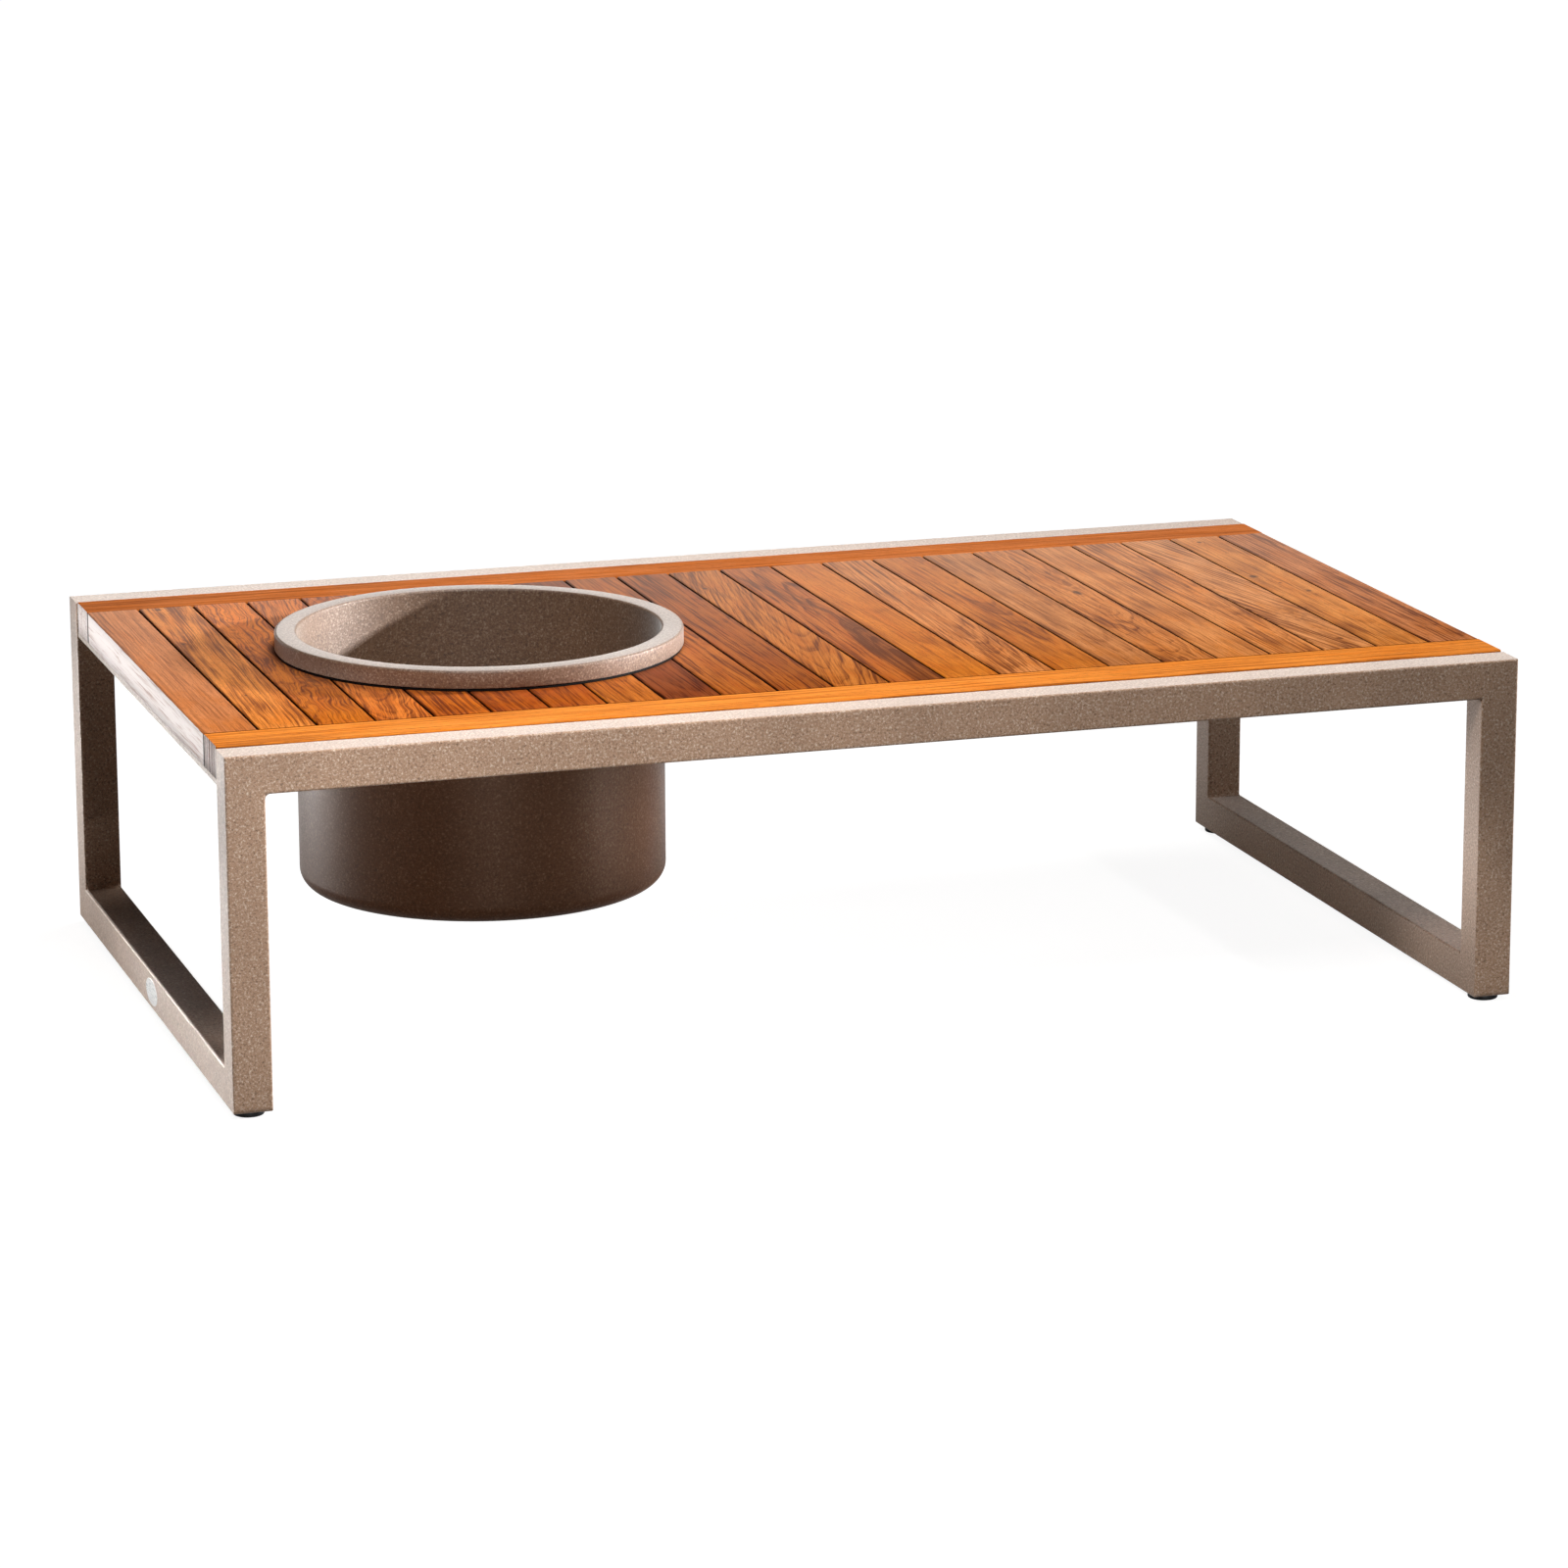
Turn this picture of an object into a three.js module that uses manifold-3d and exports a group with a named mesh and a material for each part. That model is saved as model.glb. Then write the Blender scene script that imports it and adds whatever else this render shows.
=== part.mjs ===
// Ice bucket coffee table: a frame of square metal tube, a slatted teak top and a round tub for ice
// that hangs through an opening in the slats.
// Millimetres. +X runs along the table to the right, +Y to the back, +Z up.
// The origin is on the floor, under the middle of the table.

import * as THREE from "three";
import { mergeVertices } from "three/addons/utils/BufferGeometryUtils.js";
import Module from "manifold-3d";

const wasm = await Module();
wasm.setup();

// Overall size
const tableLength = 1300;
const tableWidth = 756;
const frameHeight = 350; // from the floor to the top of the metal rails

// Square tube of the frame
const tubeSide = 38;
const tubeWall = 2.5;
const tubeEdgeRadius = 2;
const weldSeam = 0.1; // space along a welded joint
const railFilletRadius = 5; // weld fillet between a leg and its top rail
const footFilletRadius = 7; // weld fillet between a leg and its foot rail
const filletRoot = 1; // how deep a weld fillet is rooted in the leg's wall
const heelRadius = 5; // outer corner between a leg and its foot rail

// Glides under the foot rails
const glideHeight = 6;
const glideDiameter = 30;
const glideChamfer = 1.5;
const glideSetback = 23; // from the frame's front or back face to the glide's centre
const stemDiameter = 8;
const stemLength = 9;
const stemChamfer = 1.5;
const stemClearance = 0.3;

// Teak top
const woodThickness = 32;
const woodRise = 1.5; // how far the wood stands above the rails
const endInset = 1; // from the frame's end faces to the ends of the wood and of the bars under it
const battenWidth = 54.5;
const battenSeam = 0.8; // between a batten and the slats' ends
const railGap = 1.5; // between a batten and its rail
const slatWidth = 54.5; // usual width, from which the number of slats follows
const slatGap = 2.3;
const arris = 1; // chamfer along the upper edges of the wood

// The slats lie in three fields: left of the tub, across it and right of it
const leftSlats = 3;
const tubSlats = 6;
const leftNotch = 12.3; // how far the tub's opening reaches into the slat on its left
const rightNotch = 20.6; // and into the one on its right
const endSlatShare = 0.944; // width of the slat at each end of the table, as a share of the others'

// Flat bars under the wood
const barThickness = 5;
const barWidth = 40;
const ledgeWidth = 80;
const ringWidth = 35;
const ringSetback = 2; // from the cut edge of the slats back to the carrier ring's bore
const spareBars = 2; // bars between the one at the tub's right side and the right end bar

// Tub
const drumDiameter = 368;
const bucketWall = 2.5;
const drumCornerRadius = 18;
const rimReach = 19.75; // from the drum's outer face to the rim's
const rimHeight = 17.5;
const rimEdgeRadius = 2.5;
const mouthEdgeRadius = 2.5;
const hemWidth = 10; // the lip's edge is turned inward by this much
const hemEdgeRadius = 1;
const bucketDepth = 259; // from the rim's top to the underside of the drum
const bucketEndGap = 138; // from the table's left end to the rim
const openingClearance = 4; // between the drum and the slats

// Gasket between the rim and the wood
const gasketThickness = 3;
const gasketWidth = 9;
const gasketInset = 1.2; // behind the rim's outer face

// General
const overrun = 5; // how far a cutting shape passes the piece that it cuts
const fitGap = 0.3; // between a piece and a neighbour that it is cut to fit
const edgeSteps = 3;
const filletSteps = 4;
const glideSteps = 24;
const ringSteps = 96;
const drumSteps = 72;
const cornerSteps = 6;

// Sizes that follow from those above
const halfTube = tubeSide / 2;
const legHeight = frameHeight - glideHeight;
const legX = tableLength / 2 - halfTube;
const legY = tableWidth / 2 - halfTube;
const railInnerY = tableWidth / 2 - tubeSide;
const woodTop = frameHeight + woodRise;
const woodBottom = woodTop - woodThickness;
const woodLength = tableLength - 2 * endInset;
const battenY = railInnerY - railGap - battenWidth / 2;
const slatEndY = railInnerY - railGap - battenWidth - battenSeam;
const barZ = woodBottom - barThickness / 2;
const ledgeY = railInnerY - weldSeam - ledgeWidth / 2;
const ledgeInnerY = railInnerY - weldSeam - ledgeWidth;
const drumRadius = drumDiameter / 2;
const rimRadius = drumRadius + rimReach;
const bucketX = -tableLength / 2 + bucketEndGap + rimRadius;
const openingRadius = drumRadius + openingClearance;
const openingLeft = bucketX - openingRadius;
const openingRight = bucketX + openingRadius;
const ringInnerRadius = openingRadius + ringSetback;
const ringOuterRadius = ringInnerRadius + ringWidth;
const gasketOuterRadius = rimRadius - gasketInset;

// Each basis sends a section's x, a section's y and the way it is extruded to three axes of the table.
const xAxis = new THREE.Vector3(1, 0, 0);
const yAxis = new THREE.Vector3(0, 1, 0);
const zAxis = new THREE.Vector3(0, 0, 1);
const alongX = new THREE.Matrix4().makeBasis(yAxis, zAxis, xAxis);
const alongY = new THREE.Matrix4().makeBasis(zAxis, xAxis, yAxis);
const alongZ = new THREE.Matrix4().makeBasis(xAxis, yAxis, zAxis);

// Materials

const coatMaterial = new THREE.MeshStandardMaterial({ color: 0x8d7a6a, roughness: 0.55, metalness: 0.35 });
const hiddenCoatMaterial = new THREE.MeshStandardMaterial({ color: 0x7f6d5f, roughness: 0.6, metalness: 0.3 });
const glideMaterial = new THREE.MeshStandardMaterial({ color: 0x141414, roughness: 0.6, metalness: 0 });
const gasketMaterial = new THREE.MeshStandardMaterial({ color: 0x0c0a09, roughness: 0.8, metalness: 0 });
const battenMaterial = new THREE.MeshStandardMaterial({ color: 0xe0934a, roughness: 0.5, metalness: 0 });

// Every slat is a board of its own tone. A longer table starts again from the first tone.
const slatTones = [
  0xb9744a, 0xb27a44, 0xb9793a, 0xc2803c, 0xbd7a37, 0xb0703a, 0xbb7c3e, 0xca8c4a, 0x8a5530, 0xb3743c, 0x8e5f38,
  0xb27546, 0x93603a, 0xd79a4c, 0xb9804c, 0xb67b46, 0xa8794f, 0xad7646, 0xcd9355, 0xab7845, 0xb58048, 0xc88f50,
  0x9c5f38,
];

function slatMaterial(index) {
  const color = slatTones[index % slatTones.length];
  return new THREE.MeshStandardMaterial({ color, roughness: 0.5, metalness: 0 });
}

// Solids: joining and cutting

function toSolid(geometry) {
  const bare = geometry.clone();
  bare.deleteAttribute("normal");
  bare.deleteAttribute("uv");
  const merged = mergeVertices(bare);
  const vertProperties = merged.attributes.position.array;
  const triVerts = new Uint32Array(merged.index.array);
  return new wasm.Manifold(new wasm.Mesh({ numProp: 3, vertProperties, triVerts }));
}

function toGeometry(solid) {
  const mesh = solid.getMesh();
  const geometry = new THREE.BufferGeometry();
  geometry.setAttribute("position", new THREE.BufferAttribute(new Float32Array(mesh.vertProperties), 3));
  geometry.setIndex(new THREE.BufferAttribute(new Uint32Array(mesh.triVerts), 1));
  const faceted = geometry.toNonIndexed();
  faceted.computeVertexNormals();
  return faceted;
}

function join(geometry, ...additions) {
  let solid = toSolid(geometry);
  for (const addition of additions) solid = solid.add(toSolid(addition));
  return toGeometry(solid);
}

function cut(geometry, ...cutters) {
  let solid = toSolid(geometry);
  for (const cutter of cutters) solid = solid.subtract(toSolid(cutter));
  return toGeometry(solid);
}

// Shapes

function rod(radius, height, steps) {
  return new THREE.CylinderGeometry(radius, radius, height, steps).rotateX(Math.PI / 2);
}

function arc(centreX, centreY, radius, fromDegrees, toDegrees, steps) {
  const points = [];
  for (let i = 0; i <= steps; i += 1) {
    const angle = THREE.MathUtils.degToRad(fromDegrees + ((toDegrees - fromDegrees) * i) / steps);
    points.push(new THREE.Vector2(centreX + radius * Math.cos(angle), centreY + radius * Math.sin(angle)));
  }
  return points;
}

function extrude(points, length, basis) {
  const shape = new THREE.Shape(points);
  return new THREE.ExtrudeGeometry(shape, { depth: length, bevelEnabled: false }).applyMatrix4(basis);
}

function turn(points, steps) {
  return new THREE.LatheGeometry(points, steps).rotateX(Math.PI / 2);
}

// A square with rounded corners, centred on its own middle.
function roundedSquare(side, radius) {
  const inner = side / 2 - radius;
  return [
    ...arc(inner, inner, radius, 0, 90, edgeSteps),
    ...arc(-inner, inner, radius, 90, 180, edgeSteps),
    ...arc(-inner, -inner, radius, 180, 270, edgeSteps),
    ...arc(inner, -inner, radius, 270, 360, edgeSteps),
  ];
}

// A square tube whose middle line starts at the origin. startSlope and endSlope give, for a point of the
// section, how far the mitre lies behind the tube's full length there.
function mitredTube(length, basis, startSlope, endSlope) {
  const shape = new THREE.Shape(roundedSquare(tubeSide, tubeEdgeRadius));
  const boreHalf = halfTube - tubeWall;
  const bore = [
    new THREE.Vector2(-boreHalf, -boreHalf),
    new THREE.Vector2(boreHalf, -boreHalf),
    new THREE.Vector2(boreHalf, boreHalf),
    new THREE.Vector2(-boreHalf, boreHalf),
  ];
  shape.holes.push(new THREE.Path(bore));
  const tube = new THREE.ExtrudeGeometry(shape, { depth: length, bevelEnabled: false });
  const place = tube.attributes.position;
  for (let i = 0; i < place.count; i += 1) {
    const x = place.getX(i);
    const y = place.getY(i);
    const atEnd = place.getZ(i) > length / 2;
    const z = atEnd ? length - endSlope(x, y) - weldSeam / 2 : startSlope(x, y) + weldSeam / 2;
    place.setZ(i, z);
  }
  return tube.applyMatrix4(basis);
}

// The hollow-cornered wedge of a weld, in the corner between a leg's face (x = 0) and a rail's (y = 0).
function filletOutline(radius) {
  const first = THREE.MathUtils.radToDeg(Math.asin(1 - weldSeam / radius) - Math.PI);
  return [
    new THREE.Vector2(-filletRoot, radius),
    new THREE.Vector2(-filletRoot, weldSeam),
    ...arc(radius, radius, radius, first, -180, filletSteps),
  ];
}

// What a rounded outer corner takes off: the corner is at the origin and the tube lies at +x and +y.
function heelOutline() {
  return [
    new THREE.Vector2(-overrun, -overrun),
    new THREE.Vector2(heelRadius, -overrun),
    ...arc(heelRadius, heelRadius, heelRadius, -90, -180, filletSteps),
    new THREE.Vector2(-overrun, heelRadius),
  ];
}

// Frame

// The front left leg stands on z = 0 with its middle line at the origin. Its outer faces look to -X and -Y,
// its top is mitred to the top rail and its foot to the foot rail.
function legGeometry() {
  const footMitre = (x, y) => y + halfTube;
  const railMitre = (x) => x + halfTube;
  const tube = mitredTube(legHeight, alongZ, footMitre, railMitre);
  const weldWidth = tubeSide - 2 * tubeEdgeRadius;

  const railFillet = extrude(filletOutline(railFilletRadius), weldWidth, alongZ)
    .rotateX(-Math.PI / 2)
    .translate(halfTube, -weldWidth / 2, legHeight - tubeSide);
  const footFillet = extrude(filletOutline(footFilletRadius), weldWidth, alongX).translate(
    -weldWidth / 2,
    halfTube,
    tubeSide,
  );
  const heel = extrude(heelOutline(), tubeSide + 2 * overrun, alongX).translate(-halfTube - overrun, -halfTube, 0);
  return cut(join(tube, railFillet, footFillet), heel);
}

// A top rail, its middle line along X from the origin. It is longest at the top.
function railGeometry() {
  const mitre = (y, z) => halfTube - z;
  return mitredTube(tableLength, alongX, mitre, mitre);
}

// A foot rail, its middle line along Y from the origin. It is longest at the bottom, where the glides go in.
function footRailGeometry() {
  const mitre = (z) => z + halfTube;
  const tube = mitredTube(tableWidth, alongY, mitre, mitre);
  const heelLength = tubeSide + 2 * overrun;
  const frontHeel = extrude(heelOutline(), heelLength, alongX).translate(-halfTube - overrun, 0, -halfTube);
  const backHeel = frontHeel.clone().rotateZ(Math.PI).translate(0, tableWidth, 0);
  const holeRadius = stemDiameter / 2 + stemClearance;
  const holeHeight = tubeWall + 2 * overrun;
  const hole = rod(holeRadius, holeHeight, glideSteps).translate(0, 0, -halfTube + tubeWall / 2);
  const frontHole = hole.clone().translate(0, glideSetback, 0);
  const backHole = hole.clone().translate(0, tableWidth - glideSetback, 0);
  return cut(tube, frontHeel, backHeel, frontHole, backHole);
}

// A glide stands on z = 0: a chamfered disc with a stem.
function glideGeometry() {
  const radius = glideDiameter / 2;
  const stemRadius = stemDiameter / 2;
  const stemTop = glideHeight + stemLength;
  const points = [
    new THREE.Vector2(0, 0),
    new THREE.Vector2(radius - glideChamfer, 0),
    new THREE.Vector2(radius, glideChamfer),
    new THREE.Vector2(radius, glideHeight),
    new THREE.Vector2(stemRadius, glideHeight),
    new THREE.Vector2(stemRadius, stemTop - stemChamfer),
    new THREE.Vector2(stemRadius - stemChamfer, stemTop),
    new THREE.Vector2(0, stemTop),
  ];
  return turn(points, glideSteps);
}

// Teak

// The section of a board, chamfered along its two upper edges, with its lower left corner at the origin.
function boardSection(width) {
  return [
    new THREE.Vector2(0, 0),
    new THREE.Vector2(width, 0),
    new THREE.Vector2(width, woodThickness - arris),
    new THREE.Vector2(width - arris, woodThickness),
    new THREE.Vector2(arris, woodThickness),
    new THREE.Vector2(0, woodThickness - arris),
  ];
}

function battenGeometry() {
  return extrude(boardSection(battenWidth), woodLength, alongX).translate(-woodLength / 2, -battenWidth / 2, 0);
}

// A slat from fromX to toX and from fromY to toY, standing on z = 0 in the table's own X and Y.
function slatGeometry(fromX, toX, fromY, toY) {
  const outline = boardSection(toX - fromX).map((point) => new THREE.Vector2(point.y, point.x));
  return extrude(outline.reverse(), toY - fromY, alongY).translate(fromX, fromY, 0);
}

// The cylinder that the opening for the tub takes out of the wood.
function openingCutter() {
  const height = woodThickness + 2 * overrun;
  return rod(openingRadius, height, ringSteps).translate(bucketX, 0, woodThickness / 2);
}

// The left and right edges of the slats of one field. Each slat has its share of the field's wood.
function fieldEdges(fromX, toX, widthShares) {
  const wood = toX - fromX - (widthShares.length - 1) * slatGap;
  const fullWidth = wood / widthShares.reduce((sum, share) => sum + share, 0);
  const edges = [];
  let left = fromX;
  for (const share of widthShares) {
    edges.push([left, left + share * fullWidth]);
    left += share * fullWidth + slatGap;
  }
  return edges;
}

// The left and right edges of all slats, from left to right. The seams beside the tub keep to its opening.
function slatEdges() {
  const slatCount = Math.round(woodLength / (slatWidth + slatGap));
  const rightSlats = slatCount - leftSlats - tubSlats;
  const leftSeam = openingLeft + leftNotch;
  const rightSeam = openingRight - rightNotch;
  const leftShares = [endSlatShare, ...Array(leftSlats - 1).fill(1)];
  const rightShares = [...Array(rightSlats - 1).fill(1), endSlatShare];
  return [
    ...fieldEdges(-woodLength / 2, leftSeam, leftShares),
    ...fieldEdges(leftSeam + slatGap, rightSeam - slatGap, Array(tubSlats).fill(1)),
    ...fieldEdges(rightSeam, woodLength / 2, rightShares),
  ];
}

// Flat bars

function barGeometry(length, width) {
  return new THREE.BoxGeometry(length, width, barThickness);
}

function carrierRingGeometry() {
  const low = -barThickness / 2;
  const high = barThickness / 2;
  const points = [
    new THREE.Vector2(ringInnerRadius, low),
    new THREE.Vector2(ringOuterRadius, low),
    new THREE.Vector2(ringOuterRadius, high),
    new THREE.Vector2(ringInnerRadius, high),
    new THREE.Vector2(ringInnerRadius, low),
  ];
  return turn(points, ringSteps);
}

// The front ledge. Under a narrower table its inner edge gives way to the carrier ring.
function ledgeGeometry() {
  const ringRoom = rod(ringOuterRadius + fitGap, barThickness + 2 * overrun, ringSteps);
  return cut(barGeometry(woodLength, ledgeWidth), ringRoom.translate(bucketX, ledgeY, 0));
}

// Tub

// The tub is spun from one sheet: a drum with a rounded bottom corner, a flat rim, a lip turned down outside it
// and a hem turned in under the lip. z = 0 is the hem's underside.
function bucketGeometry() {
  const bottom = rimHeight - bucketDepth;
  const mouth = drumRadius - bucketWall;
  const corner = drumCornerRadius;
  const innerCorner = corner - bucketWall;
  const lipInside = rimRadius - bucketWall;
  const hemInside = rimRadius - hemWidth;
  const points = [
    new THREE.Vector2(0, bottom),
    ...arc(drumRadius - corner, bottom + corner, corner, -90, 0, cornerSteps),
    new THREE.Vector2(drumRadius, rimHeight - bucketWall),
    new THREE.Vector2(lipInside, rimHeight - bucketWall),
    new THREE.Vector2(lipInside, bucketWall),
    new THREE.Vector2(hemInside, bucketWall),
    new THREE.Vector2(hemInside, 0),
    ...arc(rimRadius - hemEdgeRadius, hemEdgeRadius, hemEdgeRadius, -90, 0, edgeSteps),
    ...arc(rimRadius - rimEdgeRadius, rimHeight - rimEdgeRadius, rimEdgeRadius, 0, 90, edgeSteps),
    ...arc(mouth + mouthEdgeRadius, rimHeight - mouthEdgeRadius, mouthEdgeRadius, 90, 180, edgeSteps),
    ...arc(mouth - innerCorner, bottom + corner, innerCorner, 0, -90, cornerSteps),
    new THREE.Vector2(0, bottom + bucketWall),
  ];
  return turn(points, drumSteps);
}

function gasketGeometry() {
  const innerRadius = gasketOuterRadius - gasketWidth;
  const points = [
    new THREE.Vector2(innerRadius, 0),
    new THREE.Vector2(gasketOuterRadius, 0),
    new THREE.Vector2(gasketOuterRadius, gasketThickness),
    new THREE.Vector2(innerRadius, gasketThickness),
    new THREE.Vector2(innerRadius, 0),
  ];
  return turn(points, drumSteps);
}

// The table

function addPiece(group, name, geometry, material, x, y, z) {
  const mesh = new THREE.Mesh(geometry, material);
  mesh.name = name;
  mesh.position.set(x, y, z);
  group.add(mesh);
  return mesh;
}

function makeFrame() {
  const frame = new THREE.Group();
  const rail = railGeometry();
  const leg = legGeometry();
  const footRail = footRailGeometry();
  const railZ = frameHeight - halfTube;
  const footZ = glideHeight + halfTube;
  addPiece(frame, "front_rail", rail, coatMaterial, -tableLength / 2, -legY, railZ);
  addPiece(frame, "back_rail", rail, coatMaterial, -tableLength / 2, legY, railZ);
  addPiece(frame, "left_foot_rail", footRail, coatMaterial, -legX, -tableWidth / 2, footZ);
  addPiece(frame, "right_foot_rail", footRail, coatMaterial, legX, -tableWidth / 2, footZ);
  for (const [row, y] of [["front", -legY], ["back", legY]]) {
    for (const [side, x] of [["left", -legX], ["right", legX]]) {
      const piece = addPiece(frame, `${row}_${side}_leg`, leg, coatMaterial, x, y, glideHeight);
      piece.scale.set(-Math.sign(x), -Math.sign(y), 1);
    }
  }
  return frame;
}

function makeGlides() {
  const glides = new THREE.Group();
  const glide = glideGeometry();
  const glideY = tableWidth / 2 - glideSetback;
  addPiece(glides, "front_left_glide", glide, glideMaterial, -legX, -glideY, 0);
  addPiece(glides, "front_right_glide", glide, glideMaterial, legX, -glideY, 0);
  addPiece(glides, "back_left_glide", glide, glideMaterial, -legX, glideY, 0);
  addPiece(glides, "back_right_glide", glide, glideMaterial, legX, glideY, 0);
  return glides;
}

function makeBars() {
  const bars = new THREE.Group();
  bars.position.z = barZ;
  const ledge = ledgeGeometry();
  addPiece(bars, "front_ledge", ledge, hiddenCoatMaterial, 0, -ledgeY, 0);
  addPiece(bars, "back_ledge", ledge, hiddenCoatMaterial, 0, ledgeY, 0).scale.y = -1;

  const endX = woodLength / 2 - barWidth / 2;
  const besideRing = ringOuterRadius + fitGap + barWidth / 2;
  const crossBar = barGeometry(barWidth, 2 * (ledgeInnerY - fitGap));
  addPiece(bars, "left_end_bar", crossBar, hiddenCoatMaterial, -endX, 0, 0);
  addPiece(bars, "right_end_bar", crossBar, hiddenCoatMaterial, endX, 0, 0);
  addPiece(bars, "bucket_left_bar", crossBar, hiddenCoatMaterial, bucketX - besideRing, 0, 0);
  addPiece(bars, "bucket_right_bar", crossBar, hiddenCoatMaterial, bucketX + besideRing, 0, 0);
  for (let i = 1; i <= spareBars; i += 1) {
    const x = THREE.MathUtils.lerp(bucketX + besideRing, endX, i / (spareBars + 1));
    addPiece(bars, `cross_bar_${i}`, crossBar, hiddenCoatMaterial, x, 0, 0);
  }

  addPiece(bars, "carrier_ring", carrierRingGeometry(), hiddenCoatMaterial, bucketX, 0, 0);
  return bars;
}

// A slat that the opening crosses from edge to edge is two short ones, one in front of the tub and one behind it.
// A slat that the opening only reaches stays whole and is notched.
function addSlats(group) {
  let wholeCount = 0;
  let shortCount = 0;
  slatEdges().forEach(([fromX, toX], index) => {
    const material = slatMaterial(index);
    const reached = toX > openingLeft && fromX < openingRight;
    const parted = fromX > openingLeft && toX < openingRight;
    if (parted) {
      shortCount += 1;
      const front = cut(slatGeometry(fromX, toX, -slatEndY, 0), openingCutter());
      const back = cut(slatGeometry(fromX, toX, 0, slatEndY), openingCutter());
      addPiece(group, `front_short_slat_${shortCount}`, front, material, 0, 0, 0);
      addPiece(group, `back_short_slat_${shortCount}`, back, material, 0, 0, 0);
      return;
    }
    wholeCount += 1;
    const whole = slatGeometry(fromX, toX, -slatEndY, slatEndY);
    const name = `slat_${String(wholeCount).padStart(2, "0")}`;
    addPiece(group, name, reached ? cut(whole, openingCutter()) : whole, material, 0, 0, 0);
  });
}

function makeTop() {
  const top = new THREE.Group();
  top.position.z = woodBottom;
  const batten = battenGeometry();
  addPiece(top, "front_batten", batten, battenMaterial, 0, -battenY, 0);
  addPiece(top, "back_batten", batten, battenMaterial, 0, battenY, 0);
  addSlats(top);
  return top;
}

function makeTub() {
  const tub = new THREE.Group();
  tub.position.set(bucketX, 0, woodTop);
  addPiece(tub, "bucket_gasket", gasketGeometry(), gasketMaterial, 0, 0, 0);
  addPiece(tub, "bucket", bucketGeometry(), coatMaterial, 0, 0, gasketThickness);
  return tub;
}

const table = new THREE.Group();
table.add(makeFrame(), makeGlides(), makeBars(), makeTop(), makeTub());

export default table;
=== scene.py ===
# The ice bucket coffee table dressed for its portrait: the camera, the studio, the materials and the small
# pieces that the CAD model leaves out. Metres, in the CAD model's own frame: +X runs along the table's
# length, +Y from front to back and +Z up, with the origin on the floor under the middle of the table.

import math

import bmesh
import bpy
from mathutils import Matrix, Vector


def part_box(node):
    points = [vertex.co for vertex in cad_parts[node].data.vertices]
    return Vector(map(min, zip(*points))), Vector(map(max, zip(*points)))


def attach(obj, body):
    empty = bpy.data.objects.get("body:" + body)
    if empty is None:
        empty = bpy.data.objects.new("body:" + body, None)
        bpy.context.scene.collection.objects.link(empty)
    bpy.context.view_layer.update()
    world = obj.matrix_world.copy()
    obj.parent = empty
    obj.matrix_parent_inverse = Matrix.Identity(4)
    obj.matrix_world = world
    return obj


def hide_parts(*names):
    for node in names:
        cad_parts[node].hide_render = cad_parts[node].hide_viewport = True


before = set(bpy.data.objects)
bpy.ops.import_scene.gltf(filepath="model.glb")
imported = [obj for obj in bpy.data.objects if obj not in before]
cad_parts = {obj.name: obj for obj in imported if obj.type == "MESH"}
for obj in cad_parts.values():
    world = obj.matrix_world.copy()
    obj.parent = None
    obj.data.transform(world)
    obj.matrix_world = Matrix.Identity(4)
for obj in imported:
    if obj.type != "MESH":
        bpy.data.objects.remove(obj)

for leftover in ("Cube", "Light", "Camera"):
    if leftover in bpy.data.objects:
        bpy.data.objects.remove(bpy.data.objects[leftover])

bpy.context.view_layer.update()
MM = 0.001
FULL_TURN = 2.0 * math.pi


# Colours

def linear(hex_colour):
    """The linear RGBA of a colour that is written as an sRGB hex number."""
    channels = [(hex_colour >> shift & 255) / 255.0 for shift in (16, 8, 0)]
    return tuple(c / 12.92 if c <= 0.04045 else ((c + 0.055) / 1.055) ** 2.4 for c in channels) + (1.0,)


# Camera

SENSOR = 36.0
LENS = 132.206
CLIP_START = 0.1
CLIP_END = 200.0
CAMERA_PLACE = Vector((-1.714855, -5.438142, 1.590447))
CAMERA_FORWARD = Vector((0.29353, 0.92555, -0.23916))
CAMERA_RIGHT = Vector((0.95293, -0.30317, -0.0037))


def make_camera():
    data = bpy.data.cameras.new("portrait_camera")
    data.sensor_fit = "HORIZONTAL"
    data.sensor_width = SENSOR
    data.lens = LENS
    data.clip_start = CLIP_START
    data.clip_end = CLIP_END
    data.dof.use_dof = False
    camera = bpy.data.objects.new("portrait_camera", data)
    forward = CAMERA_FORWARD.normalized()
    right = (CAMERA_RIGHT - forward * CAMERA_RIGHT.dot(forward)).normalized()
    up = right.cross(forward)
    turn = Matrix((right, up, -forward)).transposed().to_4x4()
    camera.matrix_world = Matrix.Translation(CAMERA_PLACE) @ turn
    bpy.context.scene.collection.objects.link(camera)
    bpy.context.scene.camera = camera


# Node graphs

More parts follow.
